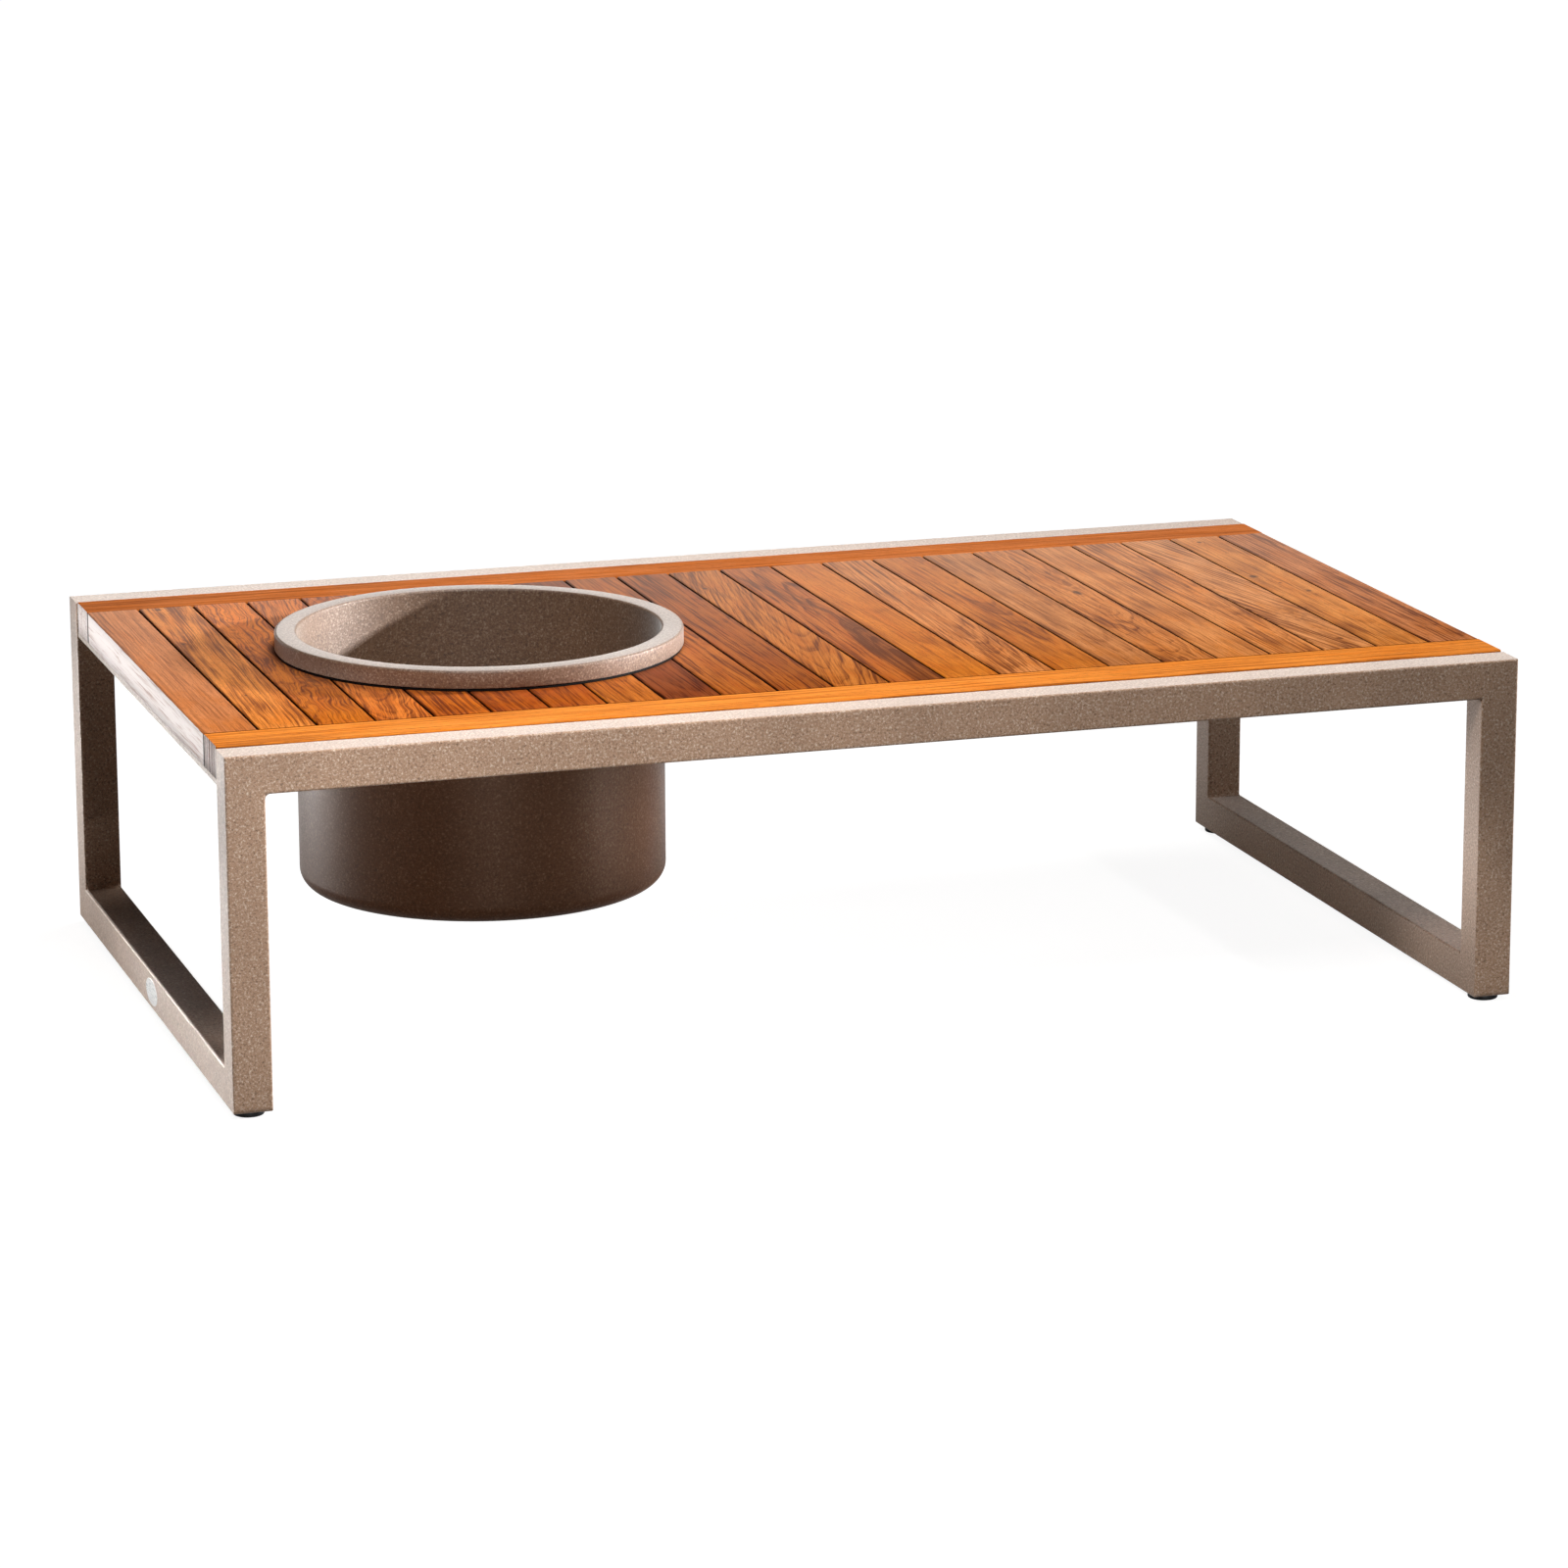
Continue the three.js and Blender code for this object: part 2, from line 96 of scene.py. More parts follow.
class Graph:
    """A material and its nodes. Each method adds nodes and returns the socket that carries their result."""

    def __init__(self, name):
        self.material = bpy.data.materials.new(name)
        self.material.use_nodes = True
        self.tree = self.material.node_tree
        self.shader = self.tree.nodes["Principled BSDF"]
        self.output = self.tree.nodes["Material Output"]

    def node(self, kind, **settings):
        node = self.tree.nodes.new(kind)
        for key, value in settings.items():
            setattr(node, key, value)
        return node

    def feed(self, socket, value):
        if isinstance(value, bpy.types.NodeSocket):
            self.tree.links.new(value, socket)
        elif value is not None:
            socket.default_value = value

    def place(self):
        return self.node("ShaderNodeTexCoord").outputs["Object"]

    def facing(self):
        return self.node("ShaderNodeTexCoord").outputs["Normal"]

    def math(self, operation, first, second=None, third=None):
        node = self.node("ShaderNodeMath", operation=operation)
        for socket, value in zip(node.inputs, (first, second, third)):
            self.feed(socket, value)
        return node.outputs[0]

    def swing(self, value, middle, gain):
        """How far value lies from middle, times gain."""
        return self.math("MULTIPLY", self.math("SUBTRACT", value, middle), gain)

    def apart(self, value, middle):
        """How far value lies from middle, on either side."""
        return self.math("ABSOLUTE", self.math("SUBTRACT", value, middle))

    def vector(self, operation, first, second=None, scale=None):
        node = self.node("ShaderNodeVectorMath", operation=operation)
        self.feed(node.inputs[0], first)
        self.feed(node.inputs[1], second)
        self.feed(node.inputs[3], scale)
        return node.outputs["Value" if operation == "LENGTH" else "Vector"]

    def split(self, vector):
        node = self.node("ShaderNodeSeparateXYZ")
        self.feed(node.inputs[0], vector)
        return node.outputs[0], node.outputs[1], node.outputs[2]

    def combine(self, x, y, z):
        node = self.node("ShaderNodeCombineXYZ")
        for socket, value in zip(node.inputs, (x, y, z)):
            self.feed(socket, value)
        return node.outputs[0]

    def noise(self, place, scale=1.0, detail=2.0, roughness=0.5):
        node = self.node("ShaderNodeTexNoise")
        self.feed(node.inputs["Vector"], place)
        self.feed(node.inputs["Scale"], scale)
        self.feed(node.inputs["Detail"], detail)
        self.feed(node.inputs["Roughness"], roughness)
        return node.outputs[0]

    def line_noise(self, value, detail=2.0, roughness=0.5):
        node = self.node("ShaderNodeTexNoise", noise_dimensions="1D")
        self.feed(node.inputs["W"], value)
        self.feed(node.inputs["Scale"], 1.0)
        self.feed(node.inputs["Detail"], detail)
        self.feed(node.inputs["Roughness"], roughness)
        return node.outputs[0]

    def cells(self, place, scale):
        node = self.node("ShaderNodeTexVoronoi", feature="F1")
        self.feed(node.inputs["Vector"], place)
        self.feed(node.inputs["Scale"], scale)
        return node.outputs["Distance"]

    def span(self, value, low, high, to_low=0.0, to_high=1.0, smooth=True):
        """value's way from low to high, laid on the way from to_low to to_high."""
        node = self.node("ShaderNodeMapRange")
        node.interpolation_type = "SMOOTHSTEP" if smooth else "LINEAR"
        for socket, number in zip(node.inputs, (value, low, high, to_low, to_high)):
            self.feed(socket, number)
        return node.outputs[0]

    def mix(self, amount, first, second, blend="MIX"):
        node = self.node("ShaderNodeMix", data_type="RGBA", blend_type=blend)
        self.feed(node.inputs[0], amount)
        self.feed(node.inputs[6], first)
        self.feed(node.inputs[7], second)
        return node.outputs[2]

    def brighten(self, colour, factor):
        return self.mix(1.0, colour, self.combine(factor, factor, factor), blend="MULTIPLY")

    def bump(self, height, strength, distance):
        node = self.node("ShaderNodeBump")
        self.feed(node.inputs["Height"], height)
        self.feed(node.inputs["Strength"], strength)
        self.feed(node.inputs["Distance"], distance)
        return node.outputs[0]

    def finish(self, **sockets):
        for name, value in sockets.items():
            self.feed(self.shader.inputs[name.replace("_", " ")], value)
        return self.material


# Studio

FLOOR_SIZE = 60.0
FLOOR_COLOUR = (0.35, 0.35, 0.35, 1.0)
FLOOR_BOUNCE_COLOUR = (0.12, 0.11, 0.10, 1.0)
PAPER_SCALE = 3.0
PAPER_SHADE = 0.99
FLOOR_GLOW = 0.93
FAR_GLOW = 1.03
NEAR_END = 1.0
FAR_START = 4.5
# How bright reflections see the floor inside its painted shadow.
PAINTED_SHADOW_GLOW = 0.12
WORLD_COLOUR = (1.0, 0.98, 0.96, 1.0)
WORLD_STRENGTH = 0.03

# Where reflections see a painted shadow on the floor under the table: a stretch's middle, how far it is dim,
# and where it is bright again.
PAINTED_SHADOW_TUB_X = (-0.25, 0.35, 0.62)
PAINTED_SHADOW_FOOT_X = (0.60, 0.08, 0.20)
PAINTED_SHADOW_TOP_Y = (0.0, 0.30, 0.80)


def outside(graph, value, stretch):
    middle, dim, bright = stretch
    return graph.span(graph.apart(value, middle), dim, bright)


def floor_glow(graph, seen, by_camera):
    """How strongly the floor glows, for the rays that see it do so."""
    paper = graph.noise(graph.place(), scale=PAPER_SCALE, detail=2.0)
    shade = graph.span(paper, 0.3, 0.7, PAPER_SHADE, 1.0)
    # Reflections see a painted shadow under the table; the camera sees the floor without it.
    x, y, _ = graph.split(graph.place())
    beside = graph.math("MINIMUM", outside(graph, x, PAINTED_SHADOW_TUB_X), outside(graph, x, PAINTED_SHADOW_FOOT_X))
    outside_shadow = graph.math("MAXIMUM", beside, outside(graph, y, PAINTED_SHADOW_TOP_Y))
    unshadowed = graph.span(outside_shadow, 0.0, 1.0, PAINTED_SHADOW_GLOW, 1.0, smooth=False)
    unshadowed = graph.math("MAXIMUM", unshadowed, by_camera)
    away = graph.vector("LENGTH", graph.place())
    level = graph.span(away, NEAR_END, FAR_START, FLOOR_GLOW, FAR_GLOW)
    return graph.math("MULTIPLY", graph.math("MULTIPLY", seen, level), graph.math("MULTIPLY", shade, unshadowed))


def floor_material():
    """The camera and reflections see the floor lifted to white, and it keeps the table's soft shadow.
    It throws back little light, as a floor far below the lamps does."""
    graph = Graph("studio_floor")
    tree = graph.tree
    tree.nodes.remove(graph.shader)
    rays = graph.node("ShaderNodeLightPath")
    by_camera = rays.outputs["Is Camera Ray"]
    seen = graph.math("MAXIMUM", by_camera, rays.outputs["Is Glossy Ray"])
    seen = graph.math("MAXIMUM", seen, rays.outputs["Is Transmission Ray"])
    matt = graph.node("ShaderNodeBsdfDiffuse")
    graph.feed(matt.inputs["Color"], graph.mix(seen, FLOOR_BOUNCE_COLOUR, FLOOR_COLOUR))
    glow = graph.node("ShaderNodeEmission")
    graph.feed(glow.inputs["Strength"], floor_glow(graph, seen, by_camera))
    both = graph.node("ShaderNodeAddShader")
    tree.links.new(matt.outputs[0], both.inputs[0])
    tree.links.new(glow.outputs[0], both.inputs[1])
    tree.links.new(both.outputs[0], graph.output.inputs["Surface"])
    return graph.material


def make_floor():
    mesh = bpy.data.meshes.new("floor")
    half = FLOOR_SIZE / 2.0
    corners = [(-half, -half, 0.0), (half, -half, 0.0), (half, half, 0.0), (-half, half, 0.0)]
    mesh.from_pydata(corners, [], [(0, 1, 2, 3)])
    floor = bpy.data.objects.new("floor", mesh)
    bpy.context.scene.collection.objects.link(floor)
    mesh.materials.append(floor_material())


def make_world():
    world = bpy.data.worlds.new("studio_world")
    bpy.context.scene.world = world
    world.use_nodes = True
    background = world.node_tree.nodes["Background"]
    background.inputs["Color"].default_value = WORLD_COLOUR
    background.inputs["Strength"].default_value = WORLD_STRENGTH


LAMP_COLOUR = (1.0, 0.99, 0.98)
NO_GRID = 180.0

# The soft boxes: name, place, target, width, height, power and spread. A spread below 180 degrees is a grid
# in front of the box, which narrows its beam.
LAMPS = (
    ("overhead_light", (0.35, 0.6, 1.9), (0.2, 0.15, 0.3), 1.2, 0.8, 18.0, NO_GRID),
    ("front_light", (-0.45, -1.0, 1.35), (-0.3, -0.3, 0.3), 0.5, 0.4, 12.6, NO_GRID),
    ("low_front_light", (-0.631, -2.0, 0.14), (-0.50, -0.38, 0.22), 0.04, 0.3, 1.0, 70.0),
    ("low_left_light", (-1.5, 0.9, 0.025), (-0.65, 0.0, 0.055), 1.2, 0.035, 2.6, 80.0),
    ("left_end_light", (-2.6, 0.0, 0.333), (-0.65, 0.0, 0.339), 0.7, 0.02, 0.042, 1.6),
    ("left_leg_light", (-1.1, 0.72, 0.05), (-0.7, -0.36, 0.0), 0.3, 0.06, 0.36, 26.0),
    ("right_leg_light", (0.19, 1.0, 0.19), (0.612, -0.36, 0.155), 0.08, 0.18, 0.075, 10.0),
    ("right_light", (6.55, -0.64, 1.79), (-0.3, 0.0, 0.77), 0.32, 0.32, 12.5, 18.0),
    ("left_sheen_light", (0.55, 3.4, 1.55), (0.25, 2.447, 1.342), 0.8, 0.5, 0.14, 16.0),
    ("right_sheen_light", (2.0, 3.4, 1.55), (1.602, 2.506, 1.342), 1.2, 0.5, 0.045, 16.0),
    ("drum_light", (1.5, -1.0, 0.10), (-0.14, -0.10, 0.19), 0.15, 0.08, 0.10, 8.0),
    ("right_front_light", (0.63, -2.0, 0.10), (0.63, -0.378, 0.03), 0.05, 0.10, 0.027, 12.0),
    ("rim_light", (1.05, -1.05, 0.47), (-0.17, -0.13, 0.366), 0.16, 0.012, 0.012, 3.0),
)


def make_lamps():
    for name, place, target, width, height, power, spread in LAMPS:
        data = bpy.data.lights.new(name, "AREA")
        data.shape = "RECTANGLE"
        data.size = width
        data.size_y = height
        data.energy = power
        data.color = LAMP_COLOUR
        data.spread = math.radians(spread)
        lamp = bpy.data.objects.new(name, data)
        aim = (Vector(target) - Vector(place)).to_track_quat("-Z", "Y")
        lamp.matrix_world = Matrix.Translation(Vector(place)) @ aim.to_matrix().to_4x4()
        lamp.visible_camera = False
        bpy.context.scene.collection.objects.link(lamp)


# Coated metal

# A coat's ground, and its light and dark grains.
FRAME_COAT = (linear(0xB8947A), linear(0xF0E2D2), linear(0x5A4638))
HIDDEN_COAT = (linear(0xA88A74),) + FRAME_COAT[1:]
# The tub's coat is darker than the frame's, partly as painted shade for its shaded inside.
TUB_COAT = (linear(0x75543A), linear(0xB29C88), linear(0x3A2618))
# Painted shade: the drum's outside is a darker copy of the tub's coat, for the shade it stands in under the
# table top.
SHADED_DRUM_COAT = (linear(0x563520), linear(0x7C5F4A), linear(0x332013))
BROWN_GLOSS = (1.0, 0.78, 0.64, 1.0)
SILVER_GLOSS = (0.96, 0.98, 1.0, 1.0)
COAT_SHEEN = (0.95, 0.95, 0.94, 1.0)
SKIN_SCALE = 430.0
SPARK_SCALE = 1500.0
CLOUD_SCALE = 9.0
SKIN_DEPTH = 0.4 * MM
ROUGH_SWING = 0.07

# Where in their noise the grains begin and where they are full.
LIGHT_GRAINS = (0.52, 0.70)
DARK_GRAINS = (0.47, 0.32)
SPARKS = (0.58, 0.70)
CLOUDS = (0.35, 0.65)
CLOUD_TONES = (0.94, 1.05)


def coat_material(name, coat, seed, sheen=0.8, nap=0.35, gloss=0.4, gloss_tint=BROWN_GLOSS, rough=0.41):
    """Textured powder coat: a fine orange-peel skin with light and dark grains of about a millimetre."""
    ground, light, dark = coat
    graph = Graph(name)
    place = graph.vector("ADD", graph.place(), (seed, seed * 0.37, seed * 0.71))
    coarse = graph.noise(place, scale=SKIN_SCALE, detail=3.0, roughness=0.7)
    fine = graph.noise(place, scale=SPARK_SCALE, detail=1.0, roughness=0.5)
    clouds = graph.noise(place, scale=CLOUD_SCALE, detail=2.0, roughness=0.55)
    light_grains = graph.math("MULTIPLY", graph.span(coarse, *LIGHT_GRAINS), 0.85)
    dark_grains = graph.math("MULTIPLY", graph.span(coarse, *DARK_GRAINS), 0.75)
    sparks = graph.math("MULTIPLY", graph.span(fine, *SPARKS), 0.45)
    colour = graph.mix(light_grains, ground, light)
    colour = graph.mix(dark_grains, colour, dark)
    colour = graph.mix(sparks, colour, light)
    colour = graph.brighten(colour, graph.span(clouds, *CLOUDS, *CLOUD_TONES))
    skin = graph.math("ADD", coarse, graph.math("MULTIPLY", fine, 0.5))
    return graph.finish(
        Base_Color=colour,
        Roughness=graph.span(coarse, 0.3, 0.7, rough + ROUGH_SWING, rough - ROUGH_SWING),
        Specular_IOR_Level=gloss,
        Specular_Tint=gloss_tint,
        Sheen_Weight=sheen,
        Sheen_Roughness=nap,
        Sheen_Tint=COAT_SHEEN,
        Normal=graph.bump(skin, 0.35, SKIN_DEPTH),
    )


# Teak. Its lengths are in millimetres.

MM_PER_METRE = 1000.0
TOP_HEIGHT = 351.5
END_X = (648.3, 648.9)
SEAMS_Y = (283.6, 339.0)
PAINTED_SHEEN_Y = (-260.0, 285.0)
# Where a board's painted back light grows in, from front to back.
BACK_LIGHT_Y = (-60.0, 160.0)

# Pale dry end grain with painted light, near white, for the table's end faces.
DRY_LIT_WOOD = linear(0xFFF6F3)
DRY_LIT_GRAIN = linear(0xBC9A8E)
DRY_CRACK = linear(0x4A2418)
SEAM = linear(0x22100A)
# Painted sheen: the pale layer laid on the slats towards the back.
PAINTED_SHEEN_COLOUR = linear(0xF6EEE4)
DARK_HEART = linear(0x64300F)
KNOT_BROWN = linear(0x3E2216)
PORE_BROWN = linear(0x5A3320)
# Painted shade on the boards' sides in the gaps, nearly black.
GAP_SHADE = (0.05, 0.03, 0.02, 1.0)

# A board's other tones, as shares of its base colour.
LIGHT_SHARES = (1.30, 1.42, 1.60)
DARK_SHARES = (0.36, 0.27, 0.24)
ORANGE_SHARES = (1.10, 0.98, 0.62)

# The wood's noises: size across the grain, size along it, share of the board's shift, detail and roughness.
# A board gives the quick one's size along the grain itself.
NOISES = {
    "slow": (55.0, 260.0, 1.0, 2.0, 0.5),
    "quick": (20.0, None, 1.3, 1.0, 0.5),
    "streak": (3.6, 240.0, 2.1, 3.0, 0.62),
    "thread": (1.9, 120.0, 7.7, 2.0, 0.6),
    "fibre": (1.0, 55.0, 2.9, 3.0, 0.65),
    "pore": (0.7, 8.0, 3.7, 1.0, 0.5),
    "mottle": (30.0, 110.0, 4.3, 2.0, 0.5),
    "drift": (17.0, 70.0, 5.1, 2.0, 0.6),
    "vein": (2.6, 420.0, 8.9, 2.0, 0.6),
    "blotch": (7.0, 16.0, 6.3, 3.0, 0.7),
}
SHIFT = (37.7, 91.3, 53.9)
RING_SHIFT = 7.1

# How the parts of the figure add up to a tone. 0 is the lightest, BASE_TONE the base colour, 1 the darkest.
BASE_TONE = 0.45
RING_MIDDLE = 0.42
RING_GAIN = 1.3
FIGURE_GAIN = 3.4
LATE_WOOD = 0.40
UNEVEN_RINGS = 0.62

# How far the fibres and the dark bands wander with the rings.
FIBRE_WANDER = 0.7
BAND_WANDER = 0.6

# How far the rings part round a knot, in its radii, and how fast that falls off.
KNOT_SWELL = 2.2
KNOT_FALL = -0.40

# How strongly colours are laid over each other.
ORANGE_REACH = 0.7
PORE_STRENGTH = 0.45
KNOT_STRENGTH = 0.85
RIGHT_END_DRY_AND_LIT = 0.35
SEAM_STRENGTH = 0.95

# Where in their noise or their measure these begin, and where they are full.
UNEVEN = (0.30, 0.70)
LATE_START = (0.45, 0.93)
LATE_STOP = (1.0, 0.94)
ORANGE_PATCHES = (0.45, 0.65)
PORES = (0.58, 0.72)
VEINS = (0.55, 0.66)
BLOTCHES = (0.38, 0.62)
CRACKS = (0.42, 0.54)
KNOT_MARK = (1.05, 0.30)
BURL_EDGE = (1.1, 0.3)
CORE_EDGE = (1.5, -2.5)
SEAM_EDGE = (3.8, 1.8)
GAP_SIDE = (0.75, 0.35)
END_FACE = (0.80, 0.95)

WOOD_GLOSS = 0.06
WOOD_ROUGHNESS = (0.68, 0.80)
GRAIN_DEPTH = 0.4 * MM
PORE_HEIGHT = -1.6
LATE_WOOD_HEIGHT = -0.3

# How a board is sawn. Places are measured across from its middle line, along from the table's middle and
# down from its top.
BOARD_DEFAULTS = {
    "ring": 3.6,            # from one growth ring to the next
    "pith": (14.0, -34.0),  # where the log's middle lies, across and below
    "lean": (0.02, 0.05),   # how that changes on the way along
    "skew": 0.0,            # how far the fibres slant
    "wave": 6.0,            # how far the rings wander, slowly
    "curl": 5.0,            # and quickly
    "turn": 95.0,           # over this length
    "rings": 0.60,          # the strengths of the parts of the figure
    "streaks": 0.62,
    "fibres": 0.45,
    "mottle": 0.40,
    "veins": 0.25,          # long thin dark lines
    # back: painted light, the back end brighter than the front, where shade falls beside the tub
    "back": 1.0,            # how bright its back end is beside its front end
    "cracks": 0.0,          # brown stripes on the dry end
    "unshaded_edge": 0.0,       # how far down its sides stay free of the painted gap shade
    "core": None,           # dark heartwood about the pith: radius and strength
    "bands": (),            # dark bands: offset, slope, half width, middle, reach, strength
    "knots": (),            # across, along, radius, stretch
    "burls": (),            # across, along, half width, half length, strength
}


def shaded(colour, shares):
    return tuple(min(1.0, c * s) for c, s in zip(colour[:3], shares)) + (1.0,)


class Board:
    """A board's graph, with a point's place across the board, along it and below its top."""

    def __init__(self, name, seed, centre, grain_along_x, look):
        graph = Graph(name)
        self.graph = graph
        self.look = dict(BOARD_DEFAULTS, **look)
        self.seed = seed
        self.shift = Vector(tuple(seed * part for part in SHIFT))
        place = graph.vector("SCALE", graph.place(), scale=MM_PER_METRE)
        self.table_x, self.table_y, height = graph.split(place)
        side, self.along = self.table_x, self.table_y
        if grain_along_x:
            side, self.along = self.table_y, self.table_x
        self.across = graph.math("SUBTRACT", side, centre)
        self.below = graph.math("SUBTRACT", height, TOP_HEIGHT)
        self.plain = graph.combine(self.across, self.along, self.below)

    def noise(self, kind, grain, along=None):
        wide, long, share, detail, roughness = NOISES[kind]
        stretch = (1.0 / wide, 1.0 / (along or long), 1.0 / wide)
        squeezed = self.graph.vector("MULTIPLY", grain, stretch)
        place = self.graph.vector("ADD", squeezed, tuple(self.shift * share))
        return self.graph.noise(place, detail=detail, roughness=roughness)

    def ripple(self):
        """How far the rings wander."""
        graph = self.graph
        slow = self.noise("slow", self.plain)
        quick = self.noise("quick", self.plain, along=self.look["turn"])
        slow_wave = graph.swing(slow, 0.5, 2.0 * self.look["wave"])
        return graph.math("ADD", slow_wave, graph.swing(quick, 0.5, self.look["curl"]))

    def grain(self, ripple):
        """A point's place among the fibres, which slant with the board's skew and wander with its rings."""
        graph = self.graph
        slanted = graph.math("MULTIPLY_ADD", self.along, -self.look["skew"], self.across)
        slanted = graph.math("MULTIPLY_ADD", ripple, FIBRE_WANDER, slanted)
        return graph.combine(slanted, self.along, self.below)

    def spot(self, across, along, half_width, half_length):
        """A spot's distance field: 0 in its middle, 1 at its edge."""
        graph = self.graph
        way = graph.combine(
            graph.math("DIVIDE", graph.math("SUBTRACT", self.across, across), half_width),
            graph.math("DIVIDE", graph.math("SUBTRACT", self.along, along), half_length),
            0.0,
        )
        return graph.vector("LENGTH", way)


def growth(board, ripple):
    """The distance from the pith, which swells round the knots, and the knots' own marks."""
    graph = board.graph
    pith_across, pith_below = board.look["pith"]
    lean_across, lean_below = board.look["lean"]
    beside = graph.math("MULTIPLY_ADD", board.along, -lean_across, board.across)
    under = graph.math("MULTIPLY_ADD", board.along, -lean_below, board.below)
    from_pith = graph.combine(
        graph.math("SUBTRACT", beside, pith_across),
        0.0,
        graph.math("SUBTRACT", under, pith_below),
    )
    radius = graph.math("ADD", graph.vector("LENGTH", from_pith), ripple)
    marks = []
    for across, along, size, stretch in board.look["knots"]:
        reach = board.spot(across, along, size, size * stretch)
        fall = graph.math("MULTIPLY", graph.math("MULTIPLY", reach, reach), KNOT_FALL)
        radius = graph.math("MULTIPLY_ADD", graph.math("EXPONENT", fall), KNOT_SWELL * size, radius)
        marks.append(graph.span(reach, *KNOT_MARK))
    return radius, marks


def ring_tones(board, radius):
    """The dark late wood at the end of each ring, and the tone of rings that all differ."""
    graph = board.graph
    rings = graph.math("DIVIDE", radius, board.look["ring"])
    uneven = graph.line_noise(graph.math("ADD", rings, board.seed * RING_SHIFT), detail=3.0, roughness=0.65)
    uneven = graph.span(uneven, *UNEVEN, smooth=False)
    wander = graph.line_noise(graph.math("MULTIPLY", rings, 0.35), detail=1.0)
    part = graph.math("FRACT", graph.math("MULTIPLY_ADD", wander, 2.0, rings))
    late = graph.math("MULTIPLY", graph.span(part, *LATE_START), graph.span(part, *LATE_STOP))
    return late, graph.math("MULTIPLY_ADD", late, LATE_WOOD, graph.math("MULTIPLY", uneven, UNEVEN_RINGS))


def figure_tone(board, ring_tone, parts):
    graph = board.graph
    tone = graph.swing(ring_tone, RING_MIDDLE, RING_GAIN * board.look["rings"])
    for value, strength in parts:
        tone = graph.math("ADD", tone, graph.swing(value, 0.5, FIGURE_GAIN * strength))
    return graph.math("ADD", tone, BASE_TONE)


def oiled_colour(board, base, tone, pores):
    graph = board.graph
    light = shaded(base, LIGHT_SHARES)
    dark = shaded(base, DARK_SHARES)
    colour = graph.mix(graph.span(tone, 0.0, BASE_TONE, smooth=False), light, base)
    colour = graph.mix(graph.span(tone, BASE_TONE, 1.0, smooth=False), colour, dark)
    orange = graph.mix(graph.span(tone, 0.3, 1.0, smooth=False), shaded(base, ORANGE_SHARES), dark)
    drift = board.noise("drift", board.plain)
    colour = graph.mix(graph.span(drift, *ORANGE_PATCHES, 0.0, ORANGE_REACH), colour, orange)
    # Painted light: the back end brightened against the shaded front.
    colour = graph.brighten(colour, graph.span(board.along, *BACK_LIGHT_Y, 1.0, board.look["back"]))
    return graph.mix(pores, colour, PORE_BROWN)


def heart_band(board, ripple, band):
    """How far a point lies in a band of dark heartwood that runs along the board."""
    graph = board.graph
    offset, slope, width, middle, reach, strength = band
    way = graph.math("MULTIPLY_ADD", board.along, -slope, board.across)
    way = graph.math("ADD", way, graph.math("MULTIPLY", ripple, BAND_WANDER))
    inside = graph.span(graph.apart(way, offset), width, width * 0.3)
    near = graph.span(graph.apart(board.along, middle), reach, reach * 0.6)
    return graph.math("MULTIPLY", graph.math("MULTIPLY", inside, near), strength)


def dark_parts(board, ripple, grain, radius):
    """How far a point lies in each of the board's bands, veins, core and burls."""
    graph = board.graph
    parts = [heart_band(board, ripple, band) for band in board.look["bands"]]
    parts.append(graph.span(board.noise("vein", grain), *VEINS, 0.0, board.look["veins"]))
    if board.look["core"]:
        core_radius, strength = board.look["core"]
        core = graph.span(radius, *(core_radius + edge for edge in CORE_EDGE))
        parts.append(graph.math("MULTIPLY", core, strength))
    for across, along, half_width, half_length, strength in board.look["burls"]:
        reach = board.spot(across, along, half_width, half_length)
        blotch = graph.span(board.noise("blotch", board.plain), *BLOTCHES)
        blotch = graph.math("MULTIPLY", blotch, graph.span(reach, *BURL_EDGE))
        parts.append(graph.math("MULTIPLY", blotch, strength))
    return parts


def sheen_and_gap_shade(board, colour, painted_sheen):
    """A painted sheen makes the slats paler towards the back, and painted shade darkens the sides of the
    gaps.
    """
    graph = board.graph
    if painted_sheen:
        # Painted sheen: paler towards the back.
        colour = graph.mix(graph.span(board.along, *PAINTED_SHEEN_Y, 0.0, painted_sheen, smooth=False), colour, PAINTED_SHEEN_COLOUR)
    # Painted shade: the boards' sides in the gaps darkened nearly to black.
    level = graph.math("ABSOLUTE", graph.split(graph.facing())[2])
    gap_shade_mask = graph.span(level, *GAP_SIDE)
    unshaded = board.look["unshaded_edge"]
    if unshaded:
        gap_shade_mask = graph.math("MULTIPLY", gap_shade_mask, graph.span(board.below, -unshaded, -unshaded - 0.8))
    return graph.mix(gap_shade_mask, colour, graph.mix(1.0, colour, GAP_SHADE, blend="MULTIPLY"))


